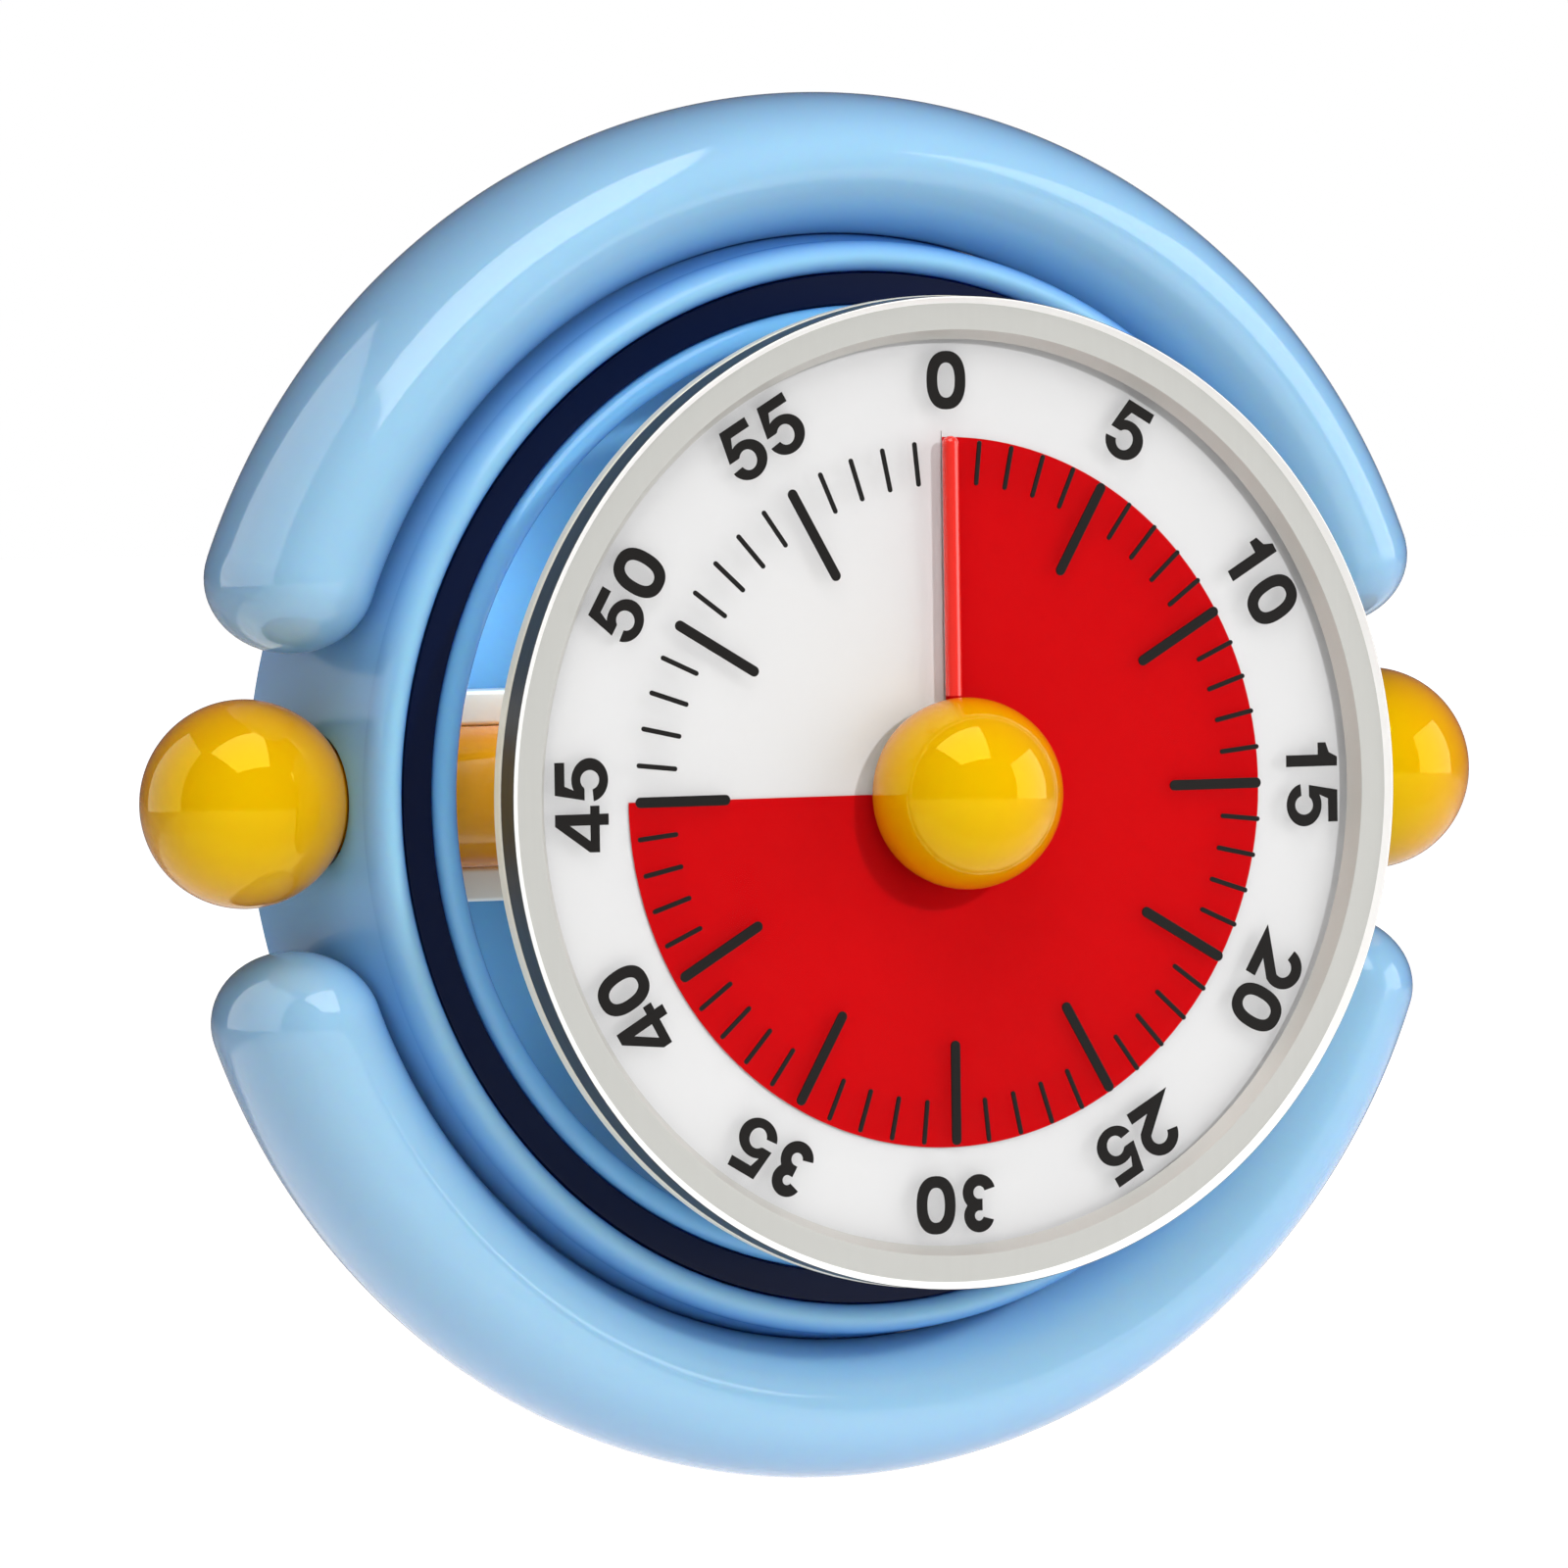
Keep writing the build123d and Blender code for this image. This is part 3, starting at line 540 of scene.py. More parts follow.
def bush_cutter():
    """A bar that clears the two axle bushes."""
    bm = bmesh.new()
    radius = sizes().bush_radius / MM + 0.05
    turn(bm, [(0, -55), (radius, -55), (radius, 55), (0, 55)], KNOB_STEPS, ALONG_AXLE)
    return loose_object("bush cutter", bm)


def dial_place(radius, minute):
    """The place on the dial at a radius and a minute, with its own up pointing outwards."""
    turned = Matrix.Rotation(-math.radians(minute * 6), 4, "Z")
    return turned @ Matrix.Translation((0, radius * MM, 0))


# Frame pieces


GROOVE_FLOOR = 14.5
DRUM_BACK = 0.6
DRUM_FRONT = 17.4
DRUM_BORE = 43.0
SEAT_GAP = 0.15


def drum_wall(height):
    """The drum's outer radius at a height, in millimetres."""
    s = sizes()
    share = (height - DRUM_BACK) / (DRUM_FRONT - DRUM_BACK)
    return (s.drum_back_radius + share * (s.drum_front_radius - s.drum_back_radius)) / MM


class TIMER_OT_drum(bpy.types.Operator):
    """Make the light blue drum with its raised front ring"""

    bl_idname = "timer.drum"
    bl_label = "Drum"

    def execute(self, context):
        s = sizes()
        middle, half = s.ring_radius / MM, s.ring_half_width / MM
        top = s.rim_height / MM
        front = s.drum_front_radius / MM
        back = s.drum_back_radius / MM
        corners = [(middle - half, GROOVE_FLOOR), (DRUM_BORE, 13.4)]
        profile = outline(corners + [(DRUM_BORE, DRUM_BACK, 0.2), (back, DRUM_BACK, 0.45)])
        profile += [(drum_wall(z), z) for z in (4, 8, 12, 16)]
        profile += bow((middle, DRUM_FRONT), front - middle, top - DRUM_FRONT, 0, 90, 20)
        profile += bow((middle, 18.9), half, top - 18.9, 90, 180, 14)[1:]
        drum = lathe("drum", profile, RING_STEPS)
        cut_away(drum, bush_cutter())
        bm = bmesh.new()
        reach = s.ball_radius / MM + SEAT_GAP
        seat = [(0.0, -reach)] + arc((0, 0), reach, -87, 87, 58) + [(0.0, reach)]
        for side in (-1, 1):
            turn(bm, seat, KNOB_STEPS, Matrix.Translation((side * s.ball_place, -AXLE_DEPTH, 0)))
        cut_away(drum, loose_object("ball seats", bm))
        place_piece(drum, finish("drum blue"), "frame", "shell_blue", "front_shell")
        return {"FINISHED"}


class TIMER_OT_liner(bpy.types.Operator):
    """Make the deep cup that lines the drum"""

    bl_idname = "timer.liner"
    bl_label = "Liner"

    def execute(self, context):
        s = sizes()
        inner, outer = s.liner_inner_radius / MM, s.liner_outer_radius / MM
        top = s.rim_height / MM
        half = (outer - inner) / 2
        profile = outline([(0, 2.1), (outer, 2.1, 0.3), (outer, 10.0)])
        profile += arc((inner + half, top - half), half, 0, 180, 20)
        profile += outline([(inner, 10.0), (inner, 3.1, 0.9), (0, 3.1)])
        cup = lathe("liner", profile, RING_STEPS)
        cut_away(cup, bush_cutter())
        place_piece(cup, finish("cup blue"), "frame", "liner_blue", "inner_liner")
        return {"FINISHED"}


class TIMER_OT_groove(bpy.types.Operator):
    """Make the navy ring in the groove of the rim"""

    bl_idname = "timer.groove"
    bl_label = "Groove ring"

    def execute(self, context):
        s = sizes()
        inner = s.liner_outer_radius / MM + 0.1
        outer = (s.ring_radius - s.ring_half_width) / MM - 0.1
        top = s.groove_height / MM
        corners = [(inner, GROOVE_FLOOR), (outer, GROOVE_FLOOR), (outer, top, 0.12), (inner, top, 0.12)]
        band = lathe("groove_band", outline(corners), RING_STEPS)
        cut_away(band, bush_cutter())
        place_piece(band, finish("groove navy"), "frame", "navy", "groove_ring")
        return {"FINISHED"}


BUMPER_END = 20.7
BUMPER_AROUND = 120
BUMPER_ALONG = 150
BUMPER_CAP = 18
BUMPER_GAP = 0.05


class TIMER_OT_bumpers(bpy.types.Operator):
    """Make the two thick crescent bumpers round the drum"""

    bl_idname = "timer.bumpers"
    bl_label = "Bumpers"

    def execute(self, context):
        for name, start in (("bumper_top", 0.0), ("bumper_bottom", 180.0)):
            bm = bmesh.new()
            self.sweep(bm, start)
            bumper = loose_object(name, bm)
            node = "bumper_upper" if start == 0.0 else "bumper_lower"
            place_piece(bumper, finish("bumper skin"), "frame", "bumper_blue", node, angle=50)
        return {"FINISHED"}

    def sweep(self, bm, start):
        """Rings of an elliptical section along the arc, with half an ellipsoid at each end."""
        s = sizes()
        middle, wide, deep = s.bumper_radius / MM, s.bumper_half_width / MM, s.bumper_half_depth / MM
        near, far = BUMPER_END, 180 - BUMPER_END
        leans = [math.radians(90 - 90 * i / BUMPER_CAP) for i in range(1, BUMPER_CAP)]
        stations = [(near, -wide, 0.0)]
        stations += [(near, -wide * math.sin(lean), math.cos(lean)) for lean in leans]
        for i in range(BUMPER_ALONG + 1):
            stations.append((near + (180 - 2 * near) * i / BUMPER_ALONG, 0.0, 1.0))
        stations += [(far, wide * math.sin(lean), math.cos(lean)) for lean in reversed(leans)]
        stations.append((far, wide, 0.0))
        rings = []
        for degrees, ahead, share in stations:
            angle = math.radians(start + degrees)
            out = Vector((math.cos(angle), math.sin(angle)))
            on = Vector((-math.sin(angle), math.cos(angle)))
            ring = []
            for k in range(BUMPER_AROUND if share else 1):
                lean = FULL_TURN * k / BUMPER_AROUND
                height = AXLE_DEPTH / MM + deep * share * math.sin(lean)
                flat = out * (middle + wide * share * math.cos(lean)) + on * ahead
                least = drum_wall(height) + BUMPER_GAP
                if flat.length < least:
                    flat = flat.normalized() * least
                ring.append(bm.verts.new(FRONT @ Vector((flat.x * MM, flat.y * MM, height * MM))))
            rings.append(ring)
        for ring, after in zip(rings, rings[1:]):
            join_rings(bm, ring, after, BUMPER_AROUND)
        bmesh.ops.recalc_face_normals(bm, faces=bm.faces)


class TIMER_OT_bushes(bpy.types.Operator):
    """Make the two cream bushes that carry the axle through the rim"""

    bl_idname = "timer.bushes"
    bl_label = "Axle bushes"

    def execute(self, context):
        s = sizes()
        bore = s.journal_radius / MM + 0.06
        outer = s.bush_radius / MM
        for side, ends in (("left", (-44, -36.7)), ("right", (36.7, 44))):
            low, high = ends
            corners = [(bore, low, 0.15), (outer, low, 0.2), (outer, high, 0.2), (bore, high, 0.15)]
            bush = lathe("bush_" + side, outline(corners), KNOB_STEPS, ALONG_AXLE)
            place_piece(bush, finish("case cream"), "frame", "cream", "axle_bush_" + side)
        return {"FINISHED"}


def troughed_block(bm, ends, half, flat, far, radius):
    """A block across the axle, with a round trough that the axle lies in."""
    depth = AXLE_DEPTH / MM
    way = 1 if far > flat else -1
    lean = math.degrees(math.acos(abs(flat - depth) / radius))
    trough = [(x, depth + way * y) for x, y in arc((0, 0), radius, 90 - lean, 90 + lean, 28)]
    polygon = [(half, flat)] + trough + [(-half, flat), (-half, far), (half, far)]
    along = Matrix(((0, 0, 1, 0), (0, -1, 0, 0), (1, 0, 0, 0), (0, 0, 0, 1)))
    prism(bm, polygon, ends[0], ends[1], along)


class TIMER_OT_cradles(bpy.types.Operator):
    """Make the two cream cradles on the cup's floor that the axle lies in"""

    bl_idname = "timer.cradles"
    bl_label = "Axle cradles"

    def execute(self, context):
        radius = sizes().axle_radius / MM + 0.06
        for side, ends in (("left", (-36, -24)), ("right", (24, 36))):
            bm = bmesh.new()
            troughed_block(bm, ends, 8.5, 10.2, 3.1, radius)
            cradle = loose_object("cradle_" + side, bm)
            round_edges(cradle, 0.35)
            place_piece(cradle, finish("case cream"), "frame", "cream", "axle_cradle_" + side)
        return {"FINISHED"}


MAGNET_PLACE = 21
COVER_SCREW_PLACE = 41.1


def round_spots(first, distance):
    """Four places on the back, a quarter turn apart."""
    for degrees in range(first, first + 360, 90):
        spin = Matrix.Rotation(math.radians(degrees), 4, "Z")
        yield FRONT @ spin @ Matrix.Translation((distance * MM, 0, 0))


class TIMER_OT_back(bpy.types.Operator):
    """Make the flat back with its magnets and its rubber grip ring"""

    bl_idname = "timer.back"
    bl_label = "Back cover"

    def execute(self, context):
        groove = [(32.98, 0.0, 0.08), (32.98, 0.8), (36.02, 0.8), (36.02, 0.0, 0.08)]
        profile = outline([(0, 2.0), (0, 0)] + groove + [(42.9, 0, 0.5), (42.9, 2.0)])
        cover = lathe("back_cover", profile, RING_STEPS)
        bm = bmesh.new()
        pocket = [(0, -1), (5.02, -1), (5.02, 1.4), (0, 1.4)]
        for spot in round_spots(0, MAGNET_PLACE):
            turn(bm, pocket, SMALL_STEPS, spot)
        sink = [(0, -1), (1.6, -1), (1.6, 0.9), (0.85, 0.9), (0.85, 3), (0, 3)]
        for spot in round_spots(45, COVER_SCREW_PLACE):
            turn(bm, sink, SMALL_STEPS, spot)
        cut_away(cover, loose_object("pockets", bm))
        place_piece(cover, finish("drum blue"), "frame", "shell_blue", "rear_cover")
        bm = bmesh.new()
        for spot in round_spots(0, MAGNET_PLACE):
            turn(bm, outline([(0, 0), (5, 0, 0.2), (5, 1.38), (0, 1.38)]), SMALL_STEPS, spot)
        discs = loose_object("magnet_discs", bm)
        place_piece(discs, finish("magnet nickel"), "frame", "magnet", "magnets")
        profile = outline([(33, 0, 0.2), (36, 0, 0.2), (36, 0.78), (33, 0.78)])
        grip = lathe("grip_band", profile, RING_STEPS)
        place_piece(grip, finish("grip rubber"), "frame", "dark_rubber", "grip_ring")
        return {"FINISHED"}


# Axle and knobs

AXLE_SHOULDER = 36.5
AXLE_END = 50
BORE_END = 50.05


class TIMER_OT_axle(bpy.types.Operator):
    """Make the yellow axle and the ball knob on each of its ends"""

    bl_idname = "timer.axle"
    bl_label = "Axle and side balls"

    def execute(self, context):
        s = sizes()
        radius, journal = s.axle_radius / MM, s.journal_radius / MM
        half = [(0, AXLE_END), (journal, AXLE_END), (journal, AXLE_SHOULDER)]
        half.append((radius, AXLE_SHOULDER, 0.3))
        corners = [(r, -z, *soft) for r, z, *soft in half] + half[::-1]
        bar = lathe("axle_bar", outline(corners), KNOB_STEPS, ALONG_AXLE)
        place_piece(bar, finish("axle yellow"), "head", "yellow", "axle")
        centre, ball_radius, bore = s.ball_place / MM, s.ball_radius / MM, journal + 0.02
        mouth = math.degrees(math.acos(bore / ball_radius))
        profile = arc((0, centre), ball_radius, -mouth, 90, 72)
        profile[-1] = (0.0, centre + ball_radius)
        profile += [(0.0, BORE_END), (bore, BORE_END)]
        for side, sign in (("left", -1), ("right", 1)):
            ball = lathe("ball_" + side, [(r, sign * z) for r, z in profile], KNOB_STEPS, ALONG_AXLE)
            place_piece(ball, finish("knob yellow"), "head", "yellow", "ball_knob_" + side, angle=50)
        return {"FINISHED"}


def knob_profile(centre, radius, flat, bore, bore_end):
    """A ball with a flat on one side and a blind bore in the flat."""
    edge = math.degrees(math.asin((flat - centre) / radius))
    ball = arc((0, centre), radius, edge + 3, 90, 60)
    ball[-1] = (0.0, centre + radius)
    corner = (radius * math.cos(math.radians(edge)), flat)
    soft = fillet((bore, flat), corner, ball[0], 0.3, 5)
    return [(bore, flat)] + soft + ball + [(0.0, bore_end), (bore, bore_end)]


class TIMER_OT_knob(bpy.types.Operator):
    """Make the yellow winding knob in the middle of the dial"""

    bl_idname = "timer.knob"
    bl_label = "Winding knob"

    def execute(self, context):
        s = sizes()
        profile = knob_profile(s.knob_height / MM, s.knob_radius / MM, s.knob_flat / MM, 1.52, 36.65)
        knob = lathe("winding_knob", profile, KNOB_STEPS)
        place_piece(knob, finish("knob yellow"), "winder", "yellow", "centre_knob", angle=50)
        return {"FINISHED"}


# Dial head

CASE_SEAT = 37.75
BEZEL_BACK = 33.15
BEZEL_STEP = 39.2
BEZEL_SIDE = 0.14
FACE_BACK = 32.12
FACE_FRONT = 32.95
WINDOW_BACK = 33.35
FACE_BORE = 1.8
SLIT = (0.04, 6, 29)


class TIMER_OT_case(bpy.types.Operator):
    """Make the cream case behind the dial, with the saddle that sits on the axle"""

    bl_idname = "timer.case"
    bl_label = "Dial case"

    def execute(self, context):
        rim = sizes().case_radius / MM
        corners = [
            (0, 16.5),
            (26, 16.5, 1.0),
            (28, 17.7, 1.0),
            (37.3, 31.6, 0.4),
            (rim, 32.0, 0.15),
            (rim, 33.1, 0.2),
            (CASE_SEAT, 33.1),
            (CASE_SEAT, 32.1),
            (35.7, 31.8),
            (26.7, 18.1),
            (0, 18.1),
        ]
        bm = bmesh.new()
        turn(bm, outline(corners), RING_STEPS)
        troughed_block(bm, (-14, 14), 11, 10.6, 16.7, sizes().axle_radius / MM + 0.02)
        case = loose_object("dial_case", bm)
        place_piece(case, finish("case cream"), "head", "cream", "rear_case")
        return {"FINISHED"}


class TIMER_OT_bezel(bpy.types.Operator):
    """Make the bezel: a satin grey ring, its raised edge in near-white, which is a painted highlight,
    and its dark side
    """

    bl_idname = "timer.bezel"
    bl_label = "Bezel"

    def execute(self, context):
        s = sizes()
        lip, outer, top = s.bezel_lip_radius / MM, s.bezel_radius / MM, s.bezel_height / MM
        under, flat = s.window_height / MM + 0.03, s.bezel_ring_height / MM
        skirt, back, step = outer - BEZEL_SIDE, BEZEL_BACK, BEZEL_STEP
        ring = [(lip, under), (CASE_SEAT, under), (CASE_SEAT, back), (skirt, back), (skirt, 34.98)]
        ring = outline(ring + [(step, 34.98), (step, flat), (lip + 0.75, flat, 0.08)])
        # The raised edge takes the near-white finish: a painted highlight on a real rounded edge.
        edge = [(step, 34.96), (skirt, 34.96), (skirt, 35.4), (outer - 0.04, 35.42)]
        edge = outline(edge + [(outer - 0.05, top, 0.04), (skirt, top, 0.03), (step, flat)])
        side = outline([(skirt, back), (outer, back, 0.1), (outer, 35.42), (skirt, 35.42)])
        pieces = {"ring": (ring, "bezel satin"), "edge": (edge, "bezel bright")}
        for name, (profile, look) in {**pieces, "side": (side, "bezel dark")}.items():
            piece = lathe("bezel_" + name, profile, RING_STEPS)
            place_piece(piece, finish(look), "head", "bezel_metal", "bezel")
        return {"FINISHED"}


class TIMER_OT_face(bpy.types.Operator):
    """Make the white face plate with its slit, and the clear window over it"""

    bl_idname = "timer.face"
    bl_label = "Face and window"

    def execute(self, context):
        s = sizes()
        edge, pane = s.face_radius / MM, s.window_height / MM
        shelf = edge - 0.7
        corners = [(FACE_BORE, FACE_BACK), (edge, FACE_BACK), (edge, WINDOW_BACK), (shelf, WINDOW_BACK)]
        corners += [(shelf, FACE_FRONT), (FACE_BORE, FACE_FRONT)]
        plate = lathe("face_card", corners, RING_STEPS)
        bm = bmesh.new()
        half, start, end = SLIT
        prism(bm, [(-half, start), (half, start), (half, end), (-half, end)], 31, 34, FRONT)
        cut_away(plate, loose_object("slit", bm))
        place_piece(plate, finish("face card"), "head", "face_white", "face_plate")
        corners = [(FACE_BORE, WINDOW_BACK), (edge, WINDOW_BACK), (edge, pane), (FACE_BORE, pane)]
        glass = lathe("window_pane", corners, RING_STEPS)
        place_piece(glass, clear_window(), "head", "clear", "dial_window")
        return {"FINISHED"}


def raised_print(name, shapes, height, edge):
    """Flat outlines on the dial, raised, with a sloped edge. Each shape is (place, outlines)."""
    curve = bpy.data.curves.new(name, "CURVE")
    curve.dimensions = "2D"
    curve.fill_mode = "BOTH"
    curve.extrude = (height - edge) * MM / 2
    curve.bevel_depth = edge * MM / 2
    curve.bevel_resolution = 1
    curve.offset = -edge * MM / 2
    for place, outlines in shapes:
        for points in outlines:
            spline = curve.splines.new("POLY")
            spline.points.add(len(points) - 1)
            for point, (x, y) in zip(spline.points, points):
                spot = place @ Vector((x * MM, y * MM, 0))
                point.co = (spot.x, spot.y, 0, 1)
            spline.use_cyclic_u = True
    drawn = bpy.data.objects.new(name, curve)
    bpy.context.scene.collection.objects.link(drawn)
    graph = bpy.context.evaluated_depsgraph_get()
    mesh = bpy.data.meshes.new_from_object(drawn.evaluated_get(graph))
    bpy.data.objects.remove(drawn)
    lift = Matrix.Translation((0, 0, sizes().window_height + height * MM / 2))
    mesh.transform(FRONT @ lift)
    piece = bpy.data.objects.new(name, mesh)
    bpy.context.scene.collection.objects.link(piece)
    return piece


def bar_outline(run, width):
    """A pen stroke with round ends, centred on the origin and standing along y."""
    half, reach = width / 2, (run - width) / 2
    return arc((0, reach), half, 0, 180, 10) + arc((0, -reach), half, 180, 360, 10)


MARK_END = 28.3
LONG_MARK = (19.9, 0.85)
SHORT_MARK = (24.7, 0.4)


class TIMER_OT_marks(bpy.types.Operator):
    """Make the fifty-nine raised minute marks"""

    bl_idname = "timer.marks"
    bl_label = "Minute marks"

    def execute(self, context):
        shapes = []
        for minute in range(1, 60):
            start, width = LONG_MARK if minute % 5 == 0 else SHORT_MARK
            place = dial_place((start + MARK_END) / 2, minute)
            shapes.append((place, [bar_outline(MARK_END - start, width)]))
        marks = raised_print("marks", shapes, sizes().mark_height / MM, 0.09)
        marks.visible_shadow = False
        place_piece(marks, finish("mark ink"), "head", "marks_black", "minute_marks", angle=25)
        return {"FINISHED"}


DIGIT_HEIGHT = 4.7
DIGIT_WIDTH = 3.5
STROKE = 0.95
DIGIT_STEP = 3.9
NUMBER_PLACE = 33.05


def ribbon(path, width):
    """The outline of a flat-ended stroke of one width along a path."""
    left, right = [], []
    count = len(path)
    for i, point in enumerate(path):
        here = Vector(point)
        into = (here - Vector(path[i - 1])).normalized() if i else None
        out = (Vector(path[i + 1]) - here).normalized() if i < count - 1 else None
        along = into or out
        if into and out:
            along = (into + out).normalized()
        side = Vector((-along.y, along.x))
        reach = width / 2
        if into and out:
            reach /= max(0.35, side.dot(Vector((-out.y, out.x))))
        left.append(tuple(here + side * reach))
        right.append(tuple(here - side * reach))
    return left + right[::-1]


def oval(across, up, steps=40):
    """An oval that is a little squarer than an ellipse."""
    points = []
    for i in range(steps):
        angle = FULL_TURN * i / steps
        c, s = math.cos(angle), math.sin(angle)
        x, y = math.copysign(abs(c) ** 0.85, c), math.copysign(abs(s) ** 0.85, s)
        points.append((across * x, up * y))
    return points


def digit_outlines(figure):
    """The outlines of one digit, in millimetres, centred on the origin."""
    half = STROKE / 2
    x, y = DIGIT_WIDTH / 2 - half, DIGIT_HEIGHT / 2 - half
    if figure == "0":
        return [oval(x + half, y + half), oval(x - half, y - half)]
    if figure == "1":
        top = y + half
        flag = [(0.78, -top), (0.78, top), (0.02, top), (-0.35, top - 0.75), (-1.15, top - 1.05)]
        return [flag + [(-1.15, top - 1.75), (-0.17, top - 1.75), (-0.17, -top)]]
    if figure == "2":
        bowl = arc((0, y - x * 0.98), x * 0.98, 172, -30, 24)
        return [ribbon(bowl + [(-x + 0.1, -y), (x + half, -y)], STROKE)]
    if figure == "3":
        high, low = y * 0.47, y * 0.53
        outer = arc((0, y - high), high + half, 165, -38, 20)
        outer += arc((0, low - y), low + half, 42, -165, 24)
        inner = arc((0, low - y), low - half, -165, 90, 20) + [(-0.3, 2 * low - y - half)]
        inner += [(-0.3, y - 2 * high + half)] + arc((0, y - high), high - half, -90, 165, 18)
        return [outer + inner]
    if figure == "4":
        top = y + half
        hull = [(0.25, top), (1.2, top), (1.2, -0.75), (1.85, -0.75), (1.85, -1.55), (1.2, -1.55)]
        hull += [(1.2, -top), (0.3, -top), (0.3, -1.55), (-1.85, -1.55), (-1.85, -0.7)]
        return [hull, [(0.3, 1.05), (0.3, -0.75), (-0.95, -0.75)]]
    flag = [(1.42, 2.35), (-1.18, 2.35), (-1.62, -0.26), (-0.74, -0.26)]
    inner = bow((0, -0.74), 0.78, 0.84, 142, -163, 24)
    outer = bow((0, -0.74), 1.74, 1.61, -168, 118, 32)
    return [flag + inner + outer + [(-0.47, 1.5), (1.42, 1.5)]]


class TIMER_OT_numerals(bpy.types.Operator):
    """Make the raised numbers from 0 to 55 round the dial"""

    bl_idname = "timer.numerals"
    bl_label = "Numerals"

    def execute(self, context):
        shapes = []
        for minutes in range(0, 60, 5):
            text = str(minutes)
            for index, figure in enumerate(text):
                shift = (index - (len(text) - 1) / 2) * DIGIT_STEP
                place = dial_place(NUMBER_PLACE, minutes) @ Matrix.Translation((shift * MM, 0, 0))
                shapes.append((place, digit_outlines(figure)))
        numbers = raised_print("numbers", shapes, sizes().mark_height / MM, 0.1)
        numbers.visible_shadow = False
        place_piece(numbers, finish("mark ink"), "head", "marks_black", "numerals", angle=25)
        return {"FINISHED"}


class TIMER_OT_rod(bpy.types.Operator):
    """Make the red index rod that points at zero"""

    bl_idname = "timer.rod"
    bl_label = "Index rod"

    def execute(self, context):
        s = sizes()
        radius = s.rod_radius / MM
        start, end = 7.78, 28.6
        profile = [(0, start), (radius, start)] + arc((0, end - radius), radius, 0, 90, 10)
        profile[-1] = (0.0, end)
        bm = bmesh.new()
        stand = Matrix.Translation((0, -(s.window_height + s.rod_radius), 0))
        turn(bm, profile, SMALL_STEPS, stand)
        rod = loose_object("rod", bm)
        place_piece(rod, finish("rod skin"), "head", "rod_red", "index_rod", angle=50)
        return {"FINISHED"}


class TIMER_OT_sheet(bpy.types.Operator):
    """Make the red sheet that fans out from the slit as the timer is wound"""

    bl_idname = "timer.sheet"
    bl_label = "Time sheet"

    DEEP = 0.03308
    SHALLOW = 0.03318

    def execute(self, context):
        rise, fall = (self.DEEP, self.SHALLOW), (self.SHALLOW, self.DEEP)
        self.leaf("sheet_near", (0.0, 135.0), rise, ("head", "sheet_mid"), "time_sheet_trailing")
        self.leaf("sheet_far", (135.0, 270.0), fall, ("sheet_mid", "sheet_lead"), "time_sheet_leading")
        return {"FINISHED"}

    def leaf(self, name, angles, heights, bodies, node):
        """One leaf. Its height changes along it."""
        start, end = angles
        low, high = heights
        bm = bmesh.new()
        outer = sizes().sheet_radius
        radii = [0.003, 0.010, 0.018, 0.025, outer]
        steps = 90
        rows = []
        for i in range(steps + 1):
            share = i / steps
            rise = 0.5 - math.sin(math.asin(1 - 2 * share) / 3)
            height = low + rise * (high - low)
            angle = math.radians(start + (end - start) * share)
            row = []
            for radius in radii:
                flat = Vector((radius * math.sin(angle), radius * math.cos(angle), height))
                row.append(bm.verts.new(FRONT @ flat))
            rows.append(row)
        for row, after in zip(rows, rows[1:]):
            for k in range(len(radii) - 1):
                bm.faces.new((row[k], after[k], after[k + 1], row[k + 1]))
        piece = loose_object(name, bm)
        piece.data.shade_smooth()
        piece.data.materials.append(finish("sheet film"))
        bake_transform(piece)
        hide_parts(node)


# Movement

MOVEMENT_LOOKS = {
    "movement brass": "movement_rear_plate movement_front_plate movement_pillars"
    " main_wheel second_wheel third_wheel escape_wheel",
    "movement steel": "movement_screws second_arbor third_arbor escape_arbor pallet_lever"
    " pallet_post hammer_post bell bell_post hammer mainspring winding_arbor"
    " cover_screws cradle_screws clamp_screws",
    "case cream": "axle_clamp",
}


class TIMER_OT_movement(bpy.types.Operator):
    """Finish the wind-up movement, the screws and the axle clamp"""

    bl_idname = "timer.movement"
    bl_label = "Movement and fixings"

    def execute(self, context):
        for look, names in MOVEMENT_LOOKS.items():
            for name in names.split():
                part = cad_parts[name]
                part.data.materials.clear()
                part.data.materials.append(finish(look))
        return {"FINISHED"}


# Stage


def studio(side, up, near):
    """A place in the studio: to the right of the dial, above it, and towards the camera."""
    turned = math.radians(CAMERA_AZIMUTH)
    right = Vector((math.cos(turned), math.sin(turned), 0))
    front = Vector((math.sin(turned), -math.cos(turned), 0))
    return Vector((0, -AXLE_DEPTH, 0)) + right * side + front * near + Vector((0, 0, up))


def hang(name, lamp, place):
    """Puts a light in the studio."""
    holder = bpy.data.objects.new(name, lamp)
    holder.location = place
    bpy.context.scene.collection.objects.link(holder)
    return holder


def panel(name, place, facing, size, glow, tint=(1, 1, 1)):
    """A rectangular softbox of a given brightness, which the camera itself does not see."""
    lamp = bpy.data.lights.new(name, "AREA")
    lamp.shape = "RECTANGLE"
    lamp.size, lamp.size_y = size
    lamp.energy = glow * math.pi * size[0] * size[1]
    lamp.color = tint
    holder = hang(name, lamp, studio(*place))
    way = studio(*facing) - studio(0, 0, 0)
    holder.rotation_euler = way.to_track_quat("-Z", "Y").to_euler()
    holder.visible_camera = False
    return holder


def toward(azimuth, elevation, distance):
    """The place at a distance from the dial, in a direction given in degrees."""
    a, e = math.radians(azimuth), math.radians(elevation)
    way = Vector((math.sin(a) * math.cos(e), -math.cos(a) * math.cos(e), math.sin(e)))
    return Vector((0, -AXLE_DEPTH, 0)) + way * distance


